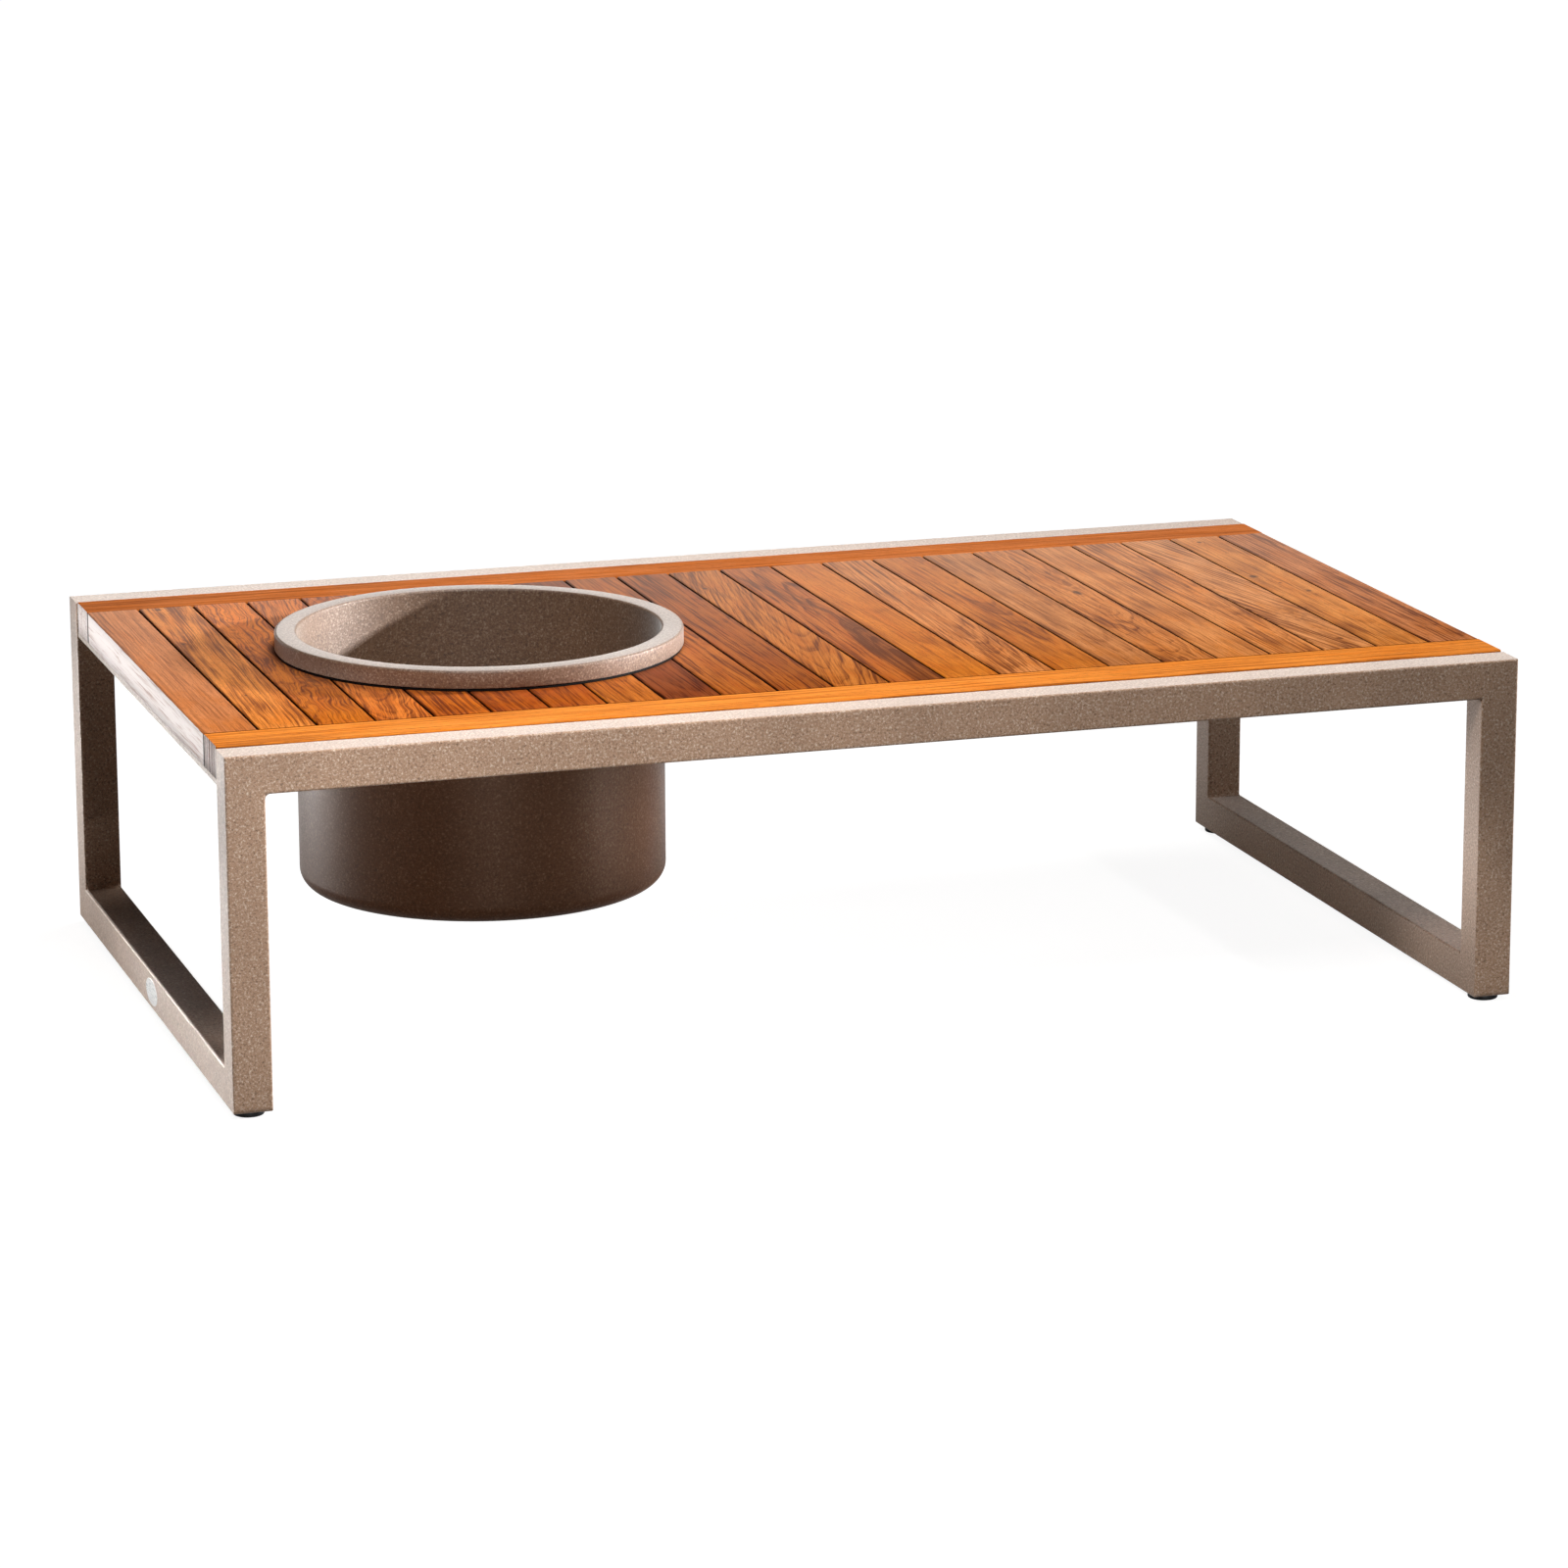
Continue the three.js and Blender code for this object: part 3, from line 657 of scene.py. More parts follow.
def dry_lit_ends(board, colour, tone):
    """The outer faces at the table's two ends are pale dry end grain with painted light, near white on the
    left end, which the light falls on. Dark seams part the battens from the slats there."""
    graph = board.graph
    outer = graph.math("ABSOLUTE", board.table_x)
    side = graph.math("ABSOLUTE", graph.split(graph.facing())[0])
    dry_lit_mask = graph.math("MULTIPLY", graph.span(outer, *END_X), graph.span(side, *END_FACE))
    # The left end takes the full painted light, the right end only a share.
    dry_lit_mask = graph.math("MULTIPLY", dry_lit_mask, graph.span(board.table_x, -1.0, 1.0, 1.0, RIGHT_END_DRY_AND_LIT))
    dry_and_lit = graph.mix(graph.span(tone, 0.40, 1.0, 0.0, 0.9), DRY_LIT_WOOD, DRY_LIT_GRAIN)
    if board.look["cracks"]:
        cracks = graph.line_noise(graph.math("MULTIPLY", board.across, 0.35), detail=2.0, roughness=0.7)
        dry_and_lit = graph.mix(graph.span(cracks, *CRACKS, 0.0, board.look["cracks"]), dry_and_lit, DRY_CRACK)
    for seam_y in SEAMS_Y:
        gap = graph.apart(graph.math("ABSOLUTE", board.table_y), seam_y)
        dry_and_lit = graph.mix(graph.span(gap, *SEAM_EDGE, 0.0, SEAM_STRENGTH), dry_and_lit, SEAM)
    return graph.mix(dry_lit_mask, colour, dry_and_lit)


def teak_material(name, seed, centre, grain_along_x, base, look, painted_sheen=0.0):
    """A board of oiled teak. The grain is solid: growth rings about a pith that leans through the board, with
    fibres, pores and slow changes of tone, so the ends and edges show what the top shows."""
    board = Board(name, seed, centre, grain_along_x, look)
    graph = board.graph
    ripple = board.ripple()
    grain = board.grain(ripple)
    radius, knot_marks = growth(board, ripple)
    late, ring_tone = ring_tones(board, radius)
    fibre = board.noise("fibre", grain)
    tone = figure_tone(board, ring_tone, (
        (board.noise("streak", grain), board.look["streaks"]),
        (board.noise("thread", grain), board.look["streaks"]),
        (fibre, board.look["fibres"]),
        (board.noise("mottle", board.plain), board.look["mottle"]),
    ))
    pores = graph.math("MULTIPLY", graph.span(board.noise("pore", grain), *PORES), PORE_STRENGTH)

    colour = oiled_colour(board, base, tone, pores)
    for part in dark_parts(board, ripple, grain, radius):
        grained = graph.math("MULTIPLY", part, graph.span(tone, 0.0, 0.7, 0.62, 1.0))
        colour = graph.mix(grained, colour, DARK_HEART)
    for mark in knot_marks:
        colour = graph.mix(graph.math("MULTIPLY", mark, KNOT_STRENGTH), colour, KNOT_BROWN)
    colour = sheen_and_gap_shade(board, colour, painted_sheen)
    colour = dry_lit_ends(board, colour, tone)

    relief = graph.math("MULTIPLY_ADD", late, LATE_WOOD_HEIGHT, fibre)
    relief = graph.math("MULTIPLY_ADD", pores, PORE_HEIGHT, relief)
    return graph.finish(
        Base_Color=colour,
        Roughness=graph.span(tone, 0.0, 1.0, *WOOD_ROUGHNESS),
        Specular_IOR_Level=WOOD_GLOSS,
        Normal=graph.bump(relief, 0.30, GRAIN_DEPTH),
    )


# The boards from left to right: each one's base colour, and what is its own in how it is sawn.
SLAT_BOARDS = [
    (0xC67740, {"ring": 5.0, "rings": 0.22, "streaks": 0.34, "fibres": 0.36, "mottle": 0.12, "veins": 0.1}),
    (0xD47B2C, {"pith": (-12.0, -40.0), "lean": (0.04, 0.02), "skew": 0.04, "curl": 6.0, "rings": 0.4,
        "veins": 0.5, "knots": ((-9.0, 274.0, 4.0, 1.4), (-18.5, 105.0, 2.4, 1.6),
        (-9.0, -140.0, 1.8, 1.5))}),
    (0xB85F07, {"pith": (-20.0, -30.0), "lean": (0.05, 0.04), "skew": 0.06, "wave": 9.0, "curl": 22.0,
        "turn": 55.0, "rings": 0.5, "veins": 0.45, "back": 1.35,
        "knots": ((32.0, 240.0, 9.0, 2.2),), "burls": ((12.0, -90.0, 24.0, 70.0, 0.85),)}),
    (0xC5681E, {"pith": (20.0, -18.0), "lean": (0.1, 0.06), "skew": 0.12, "wave": 9.0, "curl": 12.0,
        "turn": 60.0, "rings": 0.6, "veins": 0.55}),
    (0xB45805, {"ring": 4.4, "pith": (2.0, -26.0), "lean": (0.02, -0.09), "wave": 9.0, "curl": 10.0,
        "rings": 0.7, "veins": 0.45, "burls": ((14.0, -262.0, 16.0, 26.0, 0.5),)}),
    (0x9F4803, {"wave": 9.0, "curl": 6.0, "rings": 0.5, "streaks": 0.6, "veins": 0.4,
        "burls": ((-20.0, -230.0, 12.0, 40.0, 0.6),)}),
    (0xA24B03, {"pith": (-20.0, -30.0), "rings": 0.45, "streaks": 0.5}),
    (0xB15E16, {"rings": 0.35, "mottle": 0.2, "veins": 0.1}),
    (0x7A360A, {"ring": 3.0, "rings": 0.4, "streaks": 0.6}),
    (0xA05313, {"ring": 3.0, "pith": (24.0, -30.0), "rings": 0.4}),
    (0x94490B, {"rings": 0.4, "streaks": 0.85, "mottle": 0.5, "veins": 0.6,
        "bands": ((4.0, -0.03, 12.0, -170.0, 150.0, 0.45),)}),
    (0xAD611F, {"ring": 4.4, "pith": (22.0, -20.0), "lean": (0.16, 0.07), "skew": 0.2, "wave": 8.0,
        "curl": 5.0, "rings": 0.65, "streaks": 0.45, "fibres": 0.3, "veins": 0.55,
        "bands": ((12.0, -0.12, 6.0, 205.0, 90.0, 0.55), (-10.0, -0.06, 4.0, 230.0, 80.0, 0.45)),
        "knots": ((-14.0, 195.0, 3.4, 1.8),)}),
    (0xA6571A, {"ring": 5.0, "pith": (20.0, -21.0), "lean": (0.0, -0.075), "wave": 4.0, "curl": 8.0,
        "rings": 0.75, "veins": 0.35, "core": (23.5, 1.0),
        "bands": ((24.0, -0.19, 6.0, 140.0, 130.0, 0.75), (13.0, -0.17, 3.0, 120.0, 110.0, 0.5),
        (34.0, -0.2, 3.0, 120.0, 120.0, 0.5))}),
    (0xBF6A18, {"rings": 0.25, "streaks": 0.28, "fibres": 0.34, "mottle": 0.2, "veins": 0.1}),
    (0xBD7135, {"ring": 4.4, "pith": (14.0, -24.0), "lean": (0.07, 0.05), "skew": 0.05, "curl": 6.0,
        "rings": 0.55, "veins": 0.55, "bands": ((-10.0, 0.1, 3.0, 120.0, 150.0, 0.35),)}),
    (0xB26219, {"ring": 3.2, "rings": 0.35, "streaks": 0.42, "fibres": 0.34, "veins": 0.15}),
    (0xB5703A, {"ring": 2.8, "rings": 0.22, "streaks": 0.4, "fibres": 0.34, "mottle": 0.35, "veins": 0.2}),
    (0xBA6F33, {"ring": 4.6, "pith": (4.0, -18.0), "lean": (0.04, 0.07), "wave": 9.0, "curl": 14.0,
        "turn": 60.0, "rings": 0.6, "streaks": 0.5, "fibres": 0.36, "veins": 0.4,
        "knots": ((6.0, 52.0, 5.0, 3.2),)}),
    (0xC57A3D, {"ring": 2.6, "pith": (60.0, -20.0), "rings": 0.22, "streaks": 0.35, "fibres": 0.32,
        "veins": 0.12}),
    (0xC77A3C, {"rings": 0.35, "streaks": 0.5, "fibres": 0.36, "veins": 0.5,
        "bands": ((4.0, -0.06, 3.5, 190.0, 90.0, 0.55), (24.0, 0.0, 4.0, -60.0, 70.0, 0.4)),
        "knots": ((20.0, 164.0, 1.8, 1.6),)}),
    (0xC88047, {"ring": 4.6, "pith": (-16.0, -18.0), "lean": (-0.16, 0.03), "skew": -0.17, "wave": 8.0,
        "curl": 7.0, "rings": 0.5, "streaks": 0.5, "fibres": 0.36, "veins": 0.5,
        "knots": ((8.0, -238.0, 2.6, 1.5),), "burls": ((6.0, -120.0, 26.0, 50.0, 0.6),)}),
    (0xC77934, {"rings": 0.28, "streaks": 0.38, "fibres": 0.34, "veins": 0.18,
        "knots": ((-17.0, 70.0, 6.0, 1.5), (-3.0, 31.0, 2.2, 1.5), (10.5, -15.0, 3.6, 1.5),
        (-4.0, 257.0, 3.6, 1.5))}),
    (0xB36A39, {"ring": 3.2, "rings": 0.4, "streaks": 0.65, "veins": 0.5}),
]
SLAT_PAINTED_SHEEN = 0.13
SLAT_SEED = 0.17
SLAT_SEED_STEP = 0.29
BATTEN_LOOK = {
    "ring": 2.6, "pith": (70.0, -12.0), "lean": (0.004, 0.002), "wave": 4.0, "rings": 0.40, "streaks": 0.40,
    "fibres": 0.26, "mottle": 0.12, "veins": 0.08, "unshaded_edge": 1.8,
}
# The battens: node, seed, side of the table, base colour and cracks.
BATTENS = (
    ("front_batten", 0.61, 1.0, 0xE4862F, 0.9),
    ("back_batten", 0.83, -1.0, 0xC67038, 0.25),
)


# Plain materials

GLIDE_BLACK = linear(0x16161A)
GLIDE_SCUFF = linear(0x2A2A2C)
FOAM_GREY = linear(0x1C1917)
FOAM_BLACK = linear(0x0B0A09)
STEEL_DARK = linear(0x9C9A97)
STEEL_LIGHT = linear(0xC9C7C3)
ENAMEL_WHITE = linear(0xFFFFFF)
ENAMEL_SHADE = linear(0xF2F0EE)
FINE_DEPTH = 0.2 * MM
FOAM_DEPTH = 0.3 * MM


def glide_material():
    graph = Graph("glide_nylon")
    grain = graph.noise(graph.place(), scale=900.0, detail=2.0)
    scuffs = graph.noise(graph.vector("MULTIPLY", graph.place(), (60.0, 60.0, 900.0)), detail=2.0)
    return graph.finish(
        Base_Color=graph.mix(graph.span(scuffs, 0.55, 0.75), GLIDE_BLACK, GLIDE_SCUFF),
        Roughness=graph.span(grain, 0.3, 0.7, 0.42, 0.60),
        Specular_IOR_Level=0.4,
        Normal=graph.bump(grain, 0.2, FINE_DEPTH),
    )


def gasket_material():
    graph = Graph("gasket_foam")
    cells = graph.cells(graph.place(), 1400.0)
    return graph.finish(
        Base_Color=graph.mix(graph.span(cells, 0.1, 0.6), FOAM_GREY, FOAM_BLACK),
        Roughness=0.85,
        Specular_IOR_Level=0.2,
        Normal=graph.bump(cells, 0.3, FOAM_DEPTH),
    )


def steel_material():
    graph = Graph("screw_steel")
    spin = graph.noise(graph.place(), scale=700.0, detail=2.0)
    return graph.finish(
        Base_Color=graph.mix(graph.span(spin, 0.3, 0.7), STEEL_DARK, STEEL_LIGHT),
        Metallic=1.0,
        Roughness=graph.span(spin, 0.3, 0.7, 0.28, 0.42),
        Normal=graph.bump(spin, 0.1, FINE_DEPTH),
    )


def plate_material():
    graph = Graph("plate_enamel")
    brush = graph.noise(graph.vector("MULTIPLY", graph.place(), (400.0, 60.0, 900.0)), detail=2.0)
    return graph.finish(
        Base_Color=graph.mix(graph.span(brush, 0.3, 0.7), ENAMEL_WHITE, ENAMEL_SHADE),
        Roughness=graph.span(brush, 0.3, 0.7, 0.25, 0.34),
        Specular_IOR_Level=0.5,
        Normal=graph.bump(brush, 0.05, FINE_DEPTH),
    )


# Meshes

def circle_point(centre, radius, step, steps, height):
    angle = FULL_TURN * step / steps
    return (centre[0] + radius * math.cos(angle), centre[1] + radius * math.sin(angle), height)


def bridge(shape, first, second):
    """Faces between two loops of as many corners each."""
    count = len(first)
    for i in range(count):
        j = (i + 1) % count
        shape.faces.new((first[i], first[j], second[j], second[i]))


def finished_mesh(shape, name):
    bmesh.ops.recalc_face_normals(shape, faces=shape.faces)
    mesh = bpy.data.meshes.new(name)
    shape.to_mesh(mesh)
    shape.free()
    return mesh


def add_piece(name, mesh, material, body, smooth_below=40.0):
    """smooth_below is in degrees: sharper edges than that stay sharp."""
    piece = bpy.data.objects.new(name, mesh)
    bpy.context.scene.collection.objects.link(piece)
    mesh.materials.append(material)
    mesh.shade_smooth()
    mesh.set_sharp_from_angle(angle=math.radians(smooth_below))
    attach(piece, body)
    return piece


def middle_of(low, high):
    return ((low.x + high.x) / 2.0, (low.y + high.y) / 2.0)


def arc(centre_r, centre_z, radius, from_degrees, to_degrees, steps):
    points = []
    for i in range(steps + 1):
        angle = math.radians(from_degrees + (to_degrees - from_degrees) * i / steps)
        points.append((centre_r + radius * math.cos(angle), centre_z + radius * math.sin(angle)))
    return points


def turned_mesh(name, profile, centre, steps, closed):
    """A mesh turned about a vertical line through centre. profile lists (radius, height) points. A closed
    profile is a ring; an open one starts and ends on the middle line."""
    shape = bmesh.new()
    loops = []
    for radius, height in profile:
        count = steps if radius > 0.0 else 1
        loops.append([shape.verts.new(circle_point(centre, radius, i, steps, height)) for i in range(count)])
    pairs = list(zip(loops, loops[1:]))
    if closed:
        pairs.append((loops[-1], loops[0]))
    for first, second in pairs:
        for i in range(steps):
            j = (i + 1) % steps
            corners = [loop[k % len(loop)] for loop, k in ((first, i), (first, j), (second, j), (second, i))]
            shape.faces.new(list(dict.fromkeys(corners)))
    return finished_mesh(shape, name)


# Tub

WALL = 2.5 * MM
DRUM_RADIUS = 184.0 * MM
DRUM_CORNER = 18.0 * MM
RIM_EDGE = 2.5 * MM
RIM_HEIGHT = 17.5 * MM
HEM_WIDTH = 10.0 * MM
HEM_EDGE = 1.0 * MM
BOTTOM_RINGS = (0.05, 0.10, 0.14)
CORNER_STEPS = 12
RIM_STEPS = 8
HEM_STEPS = 4
TUB_STEPS = 256


def make_tub(material, shaded_drum_material):
    """The tub, from the middle of its bottom up the drum, round the rim and down the inside."""
    low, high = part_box("bucket")
    centre = middle_of(low, high)
    rim_radius = (high.x - low.x) / 2.0
    top = high.z
    hem = top - RIM_HEIGHT
    bottom = low.z
    corner_z = bottom + DRUM_CORNER
    mouth = DRUM_RADIUS - WALL
    inner_corner = DRUM_CORNER - WALL
    lip = rim_radius - WALL
    profile = [(0.0, bottom)]
    profile += [(radius, bottom) for radius in BOTTOM_RINGS]
    profile += arc(DRUM_RADIUS - DRUM_CORNER, corner_z, DRUM_CORNER, -90.0, 0.0, CORNER_STEPS)
    drum_rows = len(profile)
    profile += [(DRUM_RADIUS, top - WALL), (lip, top - WALL), (lip, hem + WALL)]
    profile += [(rim_radius - HEM_WIDTH, hem + WALL), (rim_radius - HEM_WIDTH, hem)]
    profile += arc(rim_radius - HEM_EDGE, hem + HEM_EDGE, HEM_EDGE, -90.0, 0.0, HEM_STEPS)
    profile += arc(rim_radius - RIM_EDGE, top - RIM_EDGE, RIM_EDGE, 0.0, 90.0, RIM_STEPS)
    profile += arc(mouth + RIM_EDGE, top - RIM_EDGE, RIM_EDGE, 90.0, 180.0, RIM_STEPS)
    profile += arc(mouth - inner_corner, corner_z, inner_corner, 0.0, -90.0, CORNER_STEPS)
    profile += [(radius, bottom + WALL) for radius in reversed(BOTTOM_RINGS)]
    profile += [(0.0, bottom + WALL)]
    mesh = turned_mesh("ice_tub", profile, centre, TUB_STEPS, closed=False)
    tub = add_piece("ice_tub", mesh, material, "tub")
    # The drum's outer faces take the darker coat: painted shade.
    mesh.materials.append(shaded_drum_material)
    for face in mesh.polygons[:drum_rows * TUB_STEPS]:
        face.material_index = 1
    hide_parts("bucket")


GASKET_WIDTH = 9.0 * MM
GASKET_EDGE = 1.0 * MM
GASKET_EDGE_STEPS = 4


def make_gasket(material):
    low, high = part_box("bucket_gasket")
    outer = (high.x - low.x) / 2.0
    inner = outer - GASKET_WIDTH
    edge = GASKET_EDGE
    profile = arc(outer - edge, low.z + edge, edge, -90.0, 0.0, GASKET_EDGE_STEPS)
    profile += arc(outer - edge, high.z - edge, edge, 0.0, 90.0, GASKET_EDGE_STEPS)
    profile += arc(inner + edge, high.z - edge, edge, 90.0, 180.0, GASKET_EDGE_STEPS)
    profile += arc(inner + edge, low.z + edge, edge, 180.0, 270.0, GASKET_EDGE_STEPS)
    mesh = turned_mesh("tub_gasket", profile, middle_of(low, high), TUB_STEPS, closed=True)
    gasket = add_piece("tub_gasket", mesh, material, "table")
    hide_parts("bucket_gasket")


# Glides

GLIDE_RADIUS = 15.0 * MM
GLIDE_HEIGHT = 6.0 * MM
GLIDE_EDGE = 1.5 * MM
GLIDE_BRIM = 0.6 * MM
GLIDE_DIMPLE = ((0.0, 0.4 * MM), (5.0 * MM, 0.4 * MM), (6.0 * MM, 0.0))
STEM_RADIUS = 4.0 * MM
STEM_TIP_RADIUS = 2.5 * MM
STEM_TAPER = 1.5 * MM
GLIDE_STEPS = 64


def make_glides(material):
    for row in ("front", "back"):
        for side in ("left", "right"):
            node = f"{row}_{side}_glide"
            low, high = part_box(node)
            profile = list(GLIDE_DIMPLE)
            profile += arc(GLIDE_RADIUS - GLIDE_EDGE, GLIDE_EDGE, GLIDE_EDGE, -90.0, 0.0, 6)
            profile += arc(GLIDE_RADIUS - GLIDE_BRIM, GLIDE_HEIGHT - GLIDE_BRIM, GLIDE_BRIM, 0.0, 90.0, 3)
            profile += [(STEM_RADIUS, GLIDE_HEIGHT), (STEM_RADIUS, high.z - STEM_TAPER)]
            profile += [(STEM_TIP_RADIUS, high.z), (0.0, high.z)]
            mesh = turned_mesh(f"{node}_foot", profile, middle_of(low, high), GLIDE_STEPS, closed=False)
            foot = add_piece(f"{node}_foot", mesh, material, "table")
            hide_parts(node)


# Slat screws

SCREW_STEPS = 24
SCREW_HEAD_RADIUS = 4.6 * MM
SCREW_HEAD_HEIGHT = 2.4 * MM
# The head's outline: shares of its radius and height.
SCREW_HEAD_PROFILE = ((1.0, 0.0), (1.0, 0.35), (0.94, 0.65), (0.78, 0.90), (0.58, 1.0))
SOCKET_FLATS = 3.0 * MM
SOCKET_DEPTH = 1.7 * MM
RING_HALF_WIDTH = 16.0 * MM
ENDS_Y = 0.25
BATTEN_SCREWS = 9
BATTEN_SCREW_REACH = 0.60


def add_screw(shape, place):
    """A pan head with a hexagon socket, on the underside of a bar. place is the head's middle on the bar."""
    levels = []
    for radius, depth in SCREW_HEAD_PROFILE:
        levels.append([(radius * SCREW_HEAD_RADIUS, depth * SCREW_HEAD_HEIGHT)] * SCREW_STEPS)
    hexagon = []
    for i in range(SCREW_STEPS):
        turn = math.radians((360.0 * i / SCREW_STEPS + 30.0) % 60.0 - 30.0)
        hexagon.append(SOCKET_FLATS / 2.0 / math.cos(turn))
    levels.append([(reach, SCREW_HEAD_HEIGHT) for reach in hexagon])
    levels.append([(reach, SCREW_HEAD_HEIGHT - SOCKET_DEPTH) for reach in hexagon])
    rings = []
    for level in levels:
        ring = []
        for i, (radius, depth) in enumerate(level):
            ring.append(shape.verts.new(circle_point(place, radius, i, SCREW_STEPS, place[2] - depth)))
        rings.append(ring)
    for first, second in zip(rings, rings[1:]):
        bridge(shape, first, second)
    shape.faces.new(rings[-1])
    shape.faces.new(rings[0])


def screws_piece(name, places, material):
    shape = bmesh.new()
    for place in places:
        add_screw(shape, place)
    add_piece(name, finished_mesh(shape, name), material, "table", smooth_below=30.0)


def slat_boxes():
    """The nodes of the slats with their boxes, from left to right."""
    names = [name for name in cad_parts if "slat" in name]
    return sorted(((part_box(name), name) for name in names), key=lambda row: (row[0][0].x, row[0][0].y))


def make_screws(material):
    ledge_low, ledge_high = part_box("front_ledge")
    bar_bottom = ledge_low.z
    slat_y = -(abs(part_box("slat_01")[0].y) + abs(ledge_high.y)) / 2.0
    tub_x = middle_of(*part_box("bucket"))[0]
    ring_low, ring_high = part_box("carrier_ring")
    ring_middle = (ring_high.x - ring_low.x) / 2.0 - RING_HALF_WIDTH
    batten_y = middle_of(*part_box("front_batten"))[1]
    front, back, ring = [], [], []
    for (low, high), name in slat_boxes():
        middle = (low.x + high.x) / 2.0
        if low.y < -ENDS_Y:
            front.append((middle, slat_y, bar_bottom))
        if high.y > ENDS_Y:
            back.append((middle, -slat_y, bar_bottom))
        if "short" in name:
            reach = math.sqrt(ring_middle ** 2 - (middle - tub_x) ** 2)
            ring.append((middle, -reach if low.y < 0.0 else reach, bar_bottom))
    for i in range(BATTEN_SCREWS):
        x = -BATTEN_SCREW_REACH + 2.0 * BATTEN_SCREW_REACH * i / (BATTEN_SCREWS - 1)
        front.append((x, batten_y, bar_bottom))
        back.append((x, -batten_y, bar_bottom))
    screws_piece("front_slat_screws", front, material)
    screws_piece("back_slat_screws", back, material)
    screws_piece("ring_slat_screws", ring, material)


# Welds under the top

WELD_RADIUS = 2.3 * MM
WELD_STEPS = 10
WELD_RIPPLE = 2.2 * MM
WELD_RIPPLE_DEPTH = 0.09
WELD_RING_GAP = 0.4 * WELD_RIPPLE
WELD_END = 1.6 * WELD_RADIUS
LEDGE_WELDS = 7
LEDGE_WELD_LENGTH = 45.0 * MM
LEDGE_WELD_REACH = 0.57
BAR_WELD_INSET = 4.0 * MM
RING_WELD_HALF = 18.0 * MM
DOWN = Vector((0.0, 0.0, -1.0))
WELDED_BARS = (
    "left_end_bar", "right_end_bar", "bucket_left_bar", "bucket_right_bar", "cross_bar_1", "cross_bar_2",
)


def add_weld(shape, start, end, out):
    """A rippled fillet bead from start to end, between a bar's underside and a face that looks to out."""
    start, end, out = (Vector(v) for v in (start, end, out))
    length = (end - start).length
    count = max(6, round(length / WELD_RING_GAP))
    end_rise = min(length / (3.0 * WELD_RADIUS), 8.0)
    rings = []
    for i in range(count + 1):
        share = i / count
        from_end = min(share, 1.0 - share)
        taper = min(1.0, math.sin(math.pi * from_end * end_rise + 0.12))
        if from_end * length > WELD_END:
            taper = 1.0
        ripple = 1.0 + WELD_RIPPLE_DEPTH * math.cos(FULL_TURN * share * length / WELD_RIPPLE)
        radius = WELD_RADIUS * taper * ripple
        middle = start.lerp(end, share)
        ring = []
        for j in range(WELD_STEPS):
            angle = FULL_TURN * j / WELD_STEPS
            ring.append(shape.verts.new(middle + (out * math.cos(angle) + DOWN * math.sin(angle)) * radius))
        rings.append(ring)
    for first, second in zip(rings, rings[1:]):
        bridge(shape, first, second)
    shape.faces.new(rings[0])
    shape.faces.new(rings[-1])


def make_welds(material):
    shape = bmesh.new()
    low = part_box("front_ledge")[0]
    under = low.z
    half = LEDGE_WELD_LENGTH / 2.0
    for i in range(LEDGE_WELDS):
        x = -LEDGE_WELD_REACH + 2.0 * LEDGE_WELD_REACH * i / (LEDGE_WELDS - 1)
        for y, out in ((low.y, 1.0), (-low.y, -1.0)):
            add_weld(shape, (x - half, y, under), (x + half, y, under), (0.0, out, 0.0))
    for name in WELDED_BARS:
        bar_low, bar_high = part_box(name)
        for y, out in ((bar_low.y, -1.0), (bar_high.y, 1.0)):
            start = (bar_low.x + BAR_WELD_INSET, y, under)
            end = (bar_high.x - BAR_WELD_INSET, y, under)
            add_weld(shape, start, end, (0.0, out, 0.0))
    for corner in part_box("carrier_ring"):
        start = (corner.x, -RING_WELD_HALF, under)
        end = (corner.x, RING_WELD_HALF, under)
        add_weld(shape, start, end, (1.0, 0.0, 0.0))
    mesh = finished_mesh(shape, "underside_welds")
    add_piece("underside_welds", mesh, material, "table", smooth_below=60.0)


# Blank oval plate

PLATE_LENGTH = 54.0 * MM
PLATE_HEIGHT = 26.0 * MM
PLATE_THICKNESS = 0.35 * MM
PLATE_Z = 24.0 * MM
PLATE_STEPS = 72
# The plate's edge and its sunk field: millimetres in from the outline, and shares of its thickness.
PLATE_PROFILE = ((0.0, -0.2), (0.0, 0.4), (0.25, 0.85), (0.7, 1.0), (1.6, 1.0), (2.0, 0.8), (2.4, 0.8))


def make_plate(material):
    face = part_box("left_foot_rail")[0].x
    shape = bmesh.new()
    rings = []
    for inset, rise in PLATE_PROFILE:
        ring = []
        for i in range(PLATE_STEPS):
            angle = FULL_TURN * i / PLATE_STEPS
            ring.append(shape.verts.new((
                face - rise * PLATE_THICKNESS,
                (PLATE_LENGTH / 2.0 - inset * MM) * math.cos(angle),
                PLATE_Z + (PLATE_HEIGHT / 2.0 - inset * MM) * math.sin(angle),
            )))
        rings.append(ring)
    for first, second in zip(rings, rings[1:]):
        bridge(shape, first, second)
    shape.faces.new(rings[-1])
    add_piece("blank_oval_plate", finished_mesh(shape, "blank_oval_plate"), material, "table")


# The CAD model's own pieces

COATED_NODES = (
    "front_rail", "back_rail", "left_foot_rail", "right_foot_rail",
    "front_left_leg", "front_right_leg", "back_left_leg", "back_right_leg",
)
HIDDEN_NODES = ("front_ledge", "back_ledge", "carrier_ring") + WELDED_BARS
BATTEN_EDGE = 0.5 * MM
SLAT_EDGE = 0.4 * MM
EDGE_STEPS = 2
EDGE_ANGLE = 30.0
SAME_CORNER = 0.02 * MM
SAME_ROW = 1.0 * MM


def paint(node, material):
    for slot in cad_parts[node].material_slots:
        slot.link = "OBJECT"
        slot.material = material


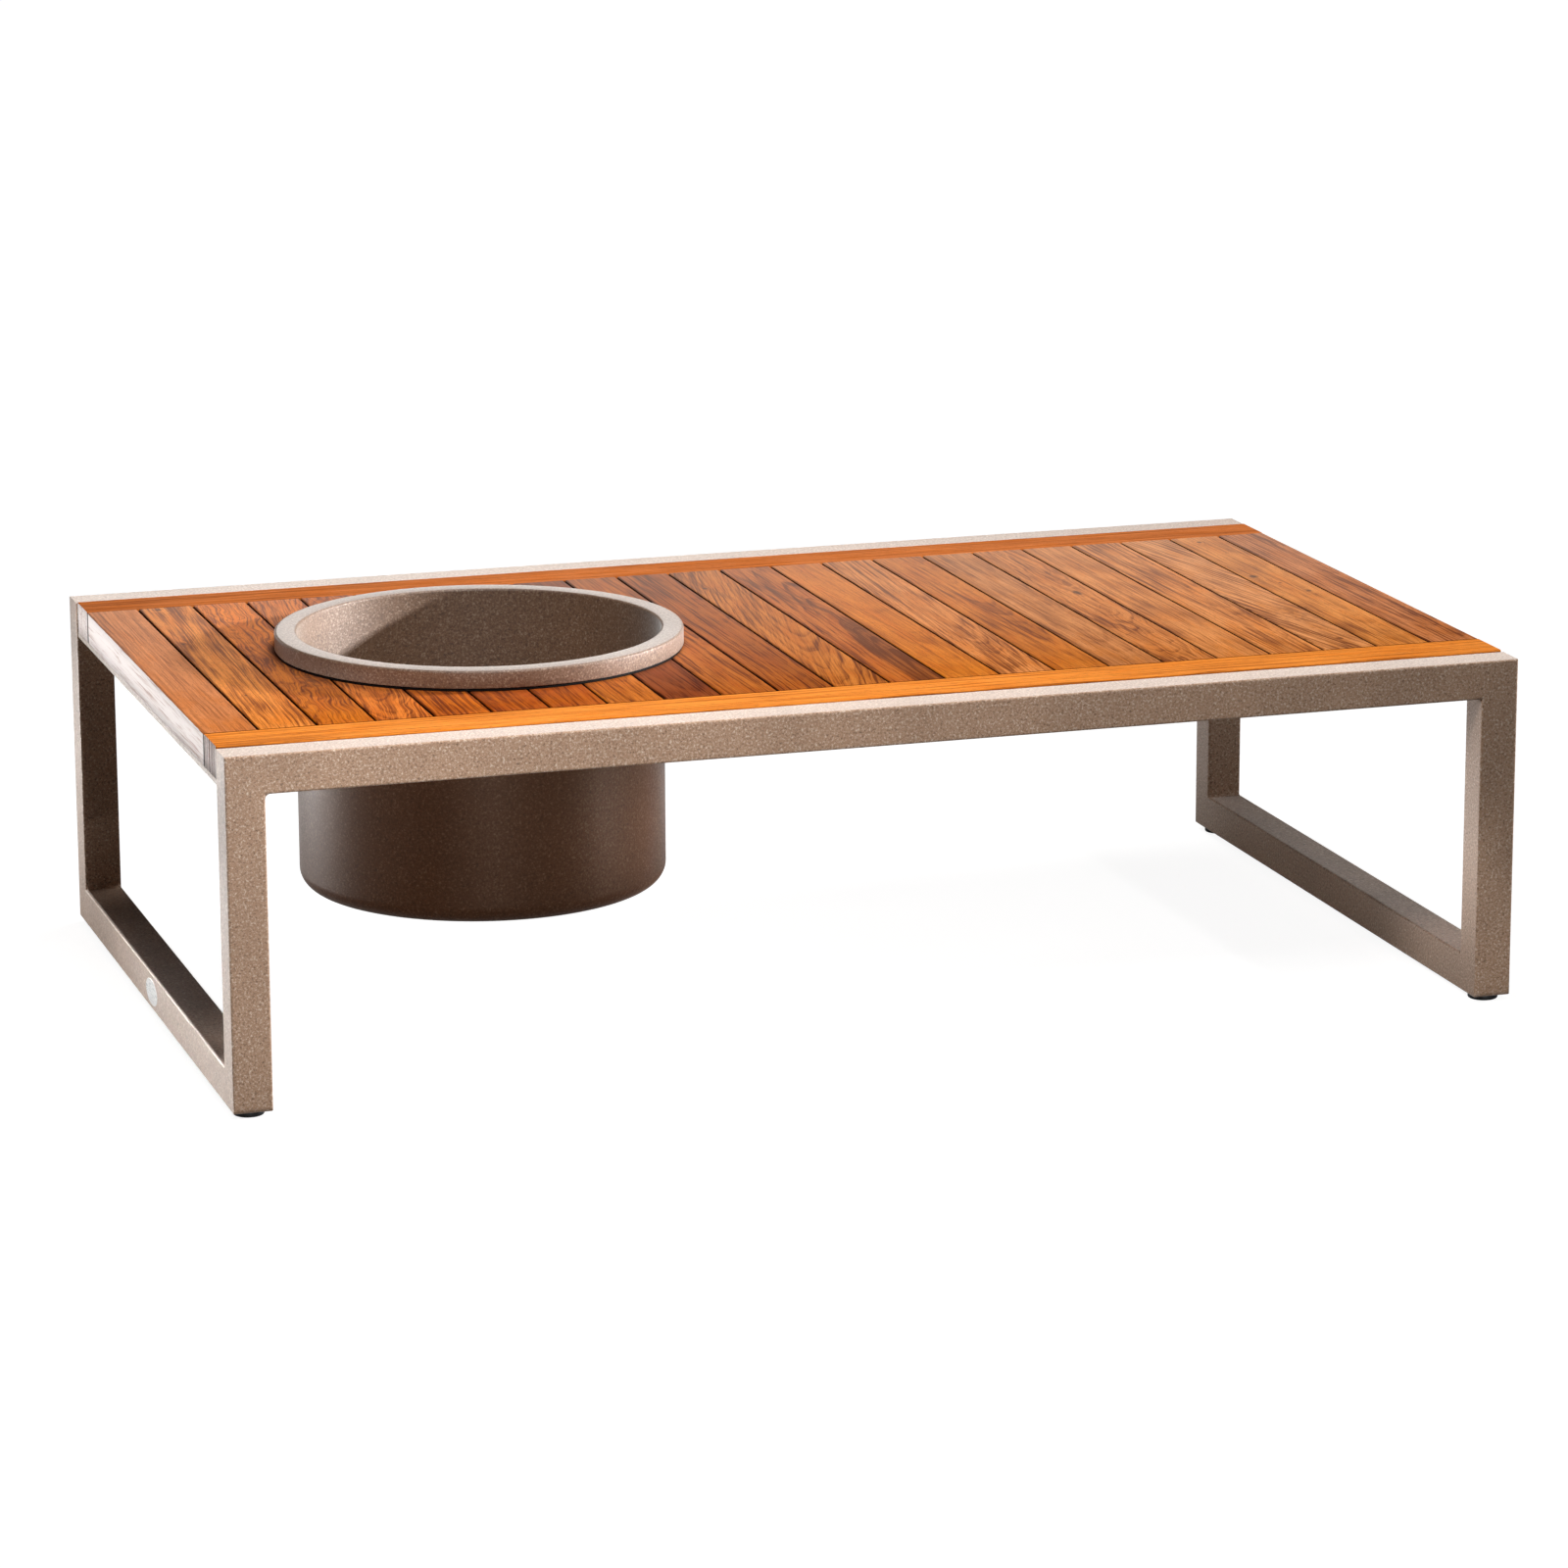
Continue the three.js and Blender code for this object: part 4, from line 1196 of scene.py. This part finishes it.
def ease_edges(node, width):
    """Rounds a node's sharp edges a little, as a modifier."""
    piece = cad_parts[node]
    weld = piece.modifiers.new("join_corners", "WELD")
    weld.merge_threshold = SAME_CORNER
    bevel = piece.modifiers.new("ease_edges", "BEVEL")
    bevel.width = width
    bevel.segments = EDGE_STEPS
    bevel.limit_method = "ANGLE"
    bevel.angle_limit = math.radians(EDGE_ANGLE)
    bevel.harden_normals = False


def dress_frame(coat, hidden_coat):
    for node in COATED_NODES:
        paint(node, coat)
    for node in HIDDEN_NODES:
        paint(node, hidden_coat)


def dress_battens():
    batten_y = middle_of(*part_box("front_batten"))[1] / MM
    for node, seed, side, base, cracks in BATTENS:
        look = dict(BATTEN_LOOK, cracks=cracks)
        paint(node, teak_material(f"teak_{node}", seed, side * batten_y, True, linear(base), look))
        ease_edges(node, BATTEN_EDGE)


def dress_slats():
    """Gives the slats of each row, from left to right, one board's material."""
    row = -1
    row_start = -1.0
    material = None
    for (low, high), node in slat_boxes():
        if low.x > row_start + SAME_ROW:
            row += 1
            row_start = low.x
            centre = (low.x + high.x) / 2.0 / MM
            base, look = SLAT_BOARDS[row]
            seed = SLAT_SEED + SLAT_SEED_STEP * row
            name = f"teak_board_{row + 1:02d}"
            material = teak_material(name, seed, centre, False, linear(base), look, painted_sheen=SLAT_PAINTED_SHEEN)
        paint(node, material)
        ease_edges(node, SLAT_EDGE)


# The scene

make_camera()
make_floor()
make_world()
make_lamps()

coat = coat_material("bronze_powder_coat", FRAME_COAT, 0.13)
hidden_coat = coat_material("bronze_powder_coat_hidden", HIDDEN_COAT, 0.59)
dress_frame(coat, hidden_coat)
dress_battens()
dress_slats()
tub_coat = coat_material(
    "bronze_powder_coat_tub", TUB_COAT, 0.23,
    sheen=0.6, nap=0.38, gloss=1.0, gloss_tint=SILVER_GLOSS, rough=0.56,
)
# The drum's outside: a darker copy of the coat, as painted shade.
shaded_drum_coat = coat_material("bronze_powder_coat_drum_shaded", SHADED_DRUM_COAT, 0.31, sheen=0.1, gloss=0.25)
make_tub(tub_coat, shaded_drum_coat)
make_gasket(gasket_material())
make_glides(glide_material())
make_screws(steel_material())
make_welds(hidden_coat)
make_plate(plate_material())

bpy.context.scene.view_settings.view_transform = "Standard"
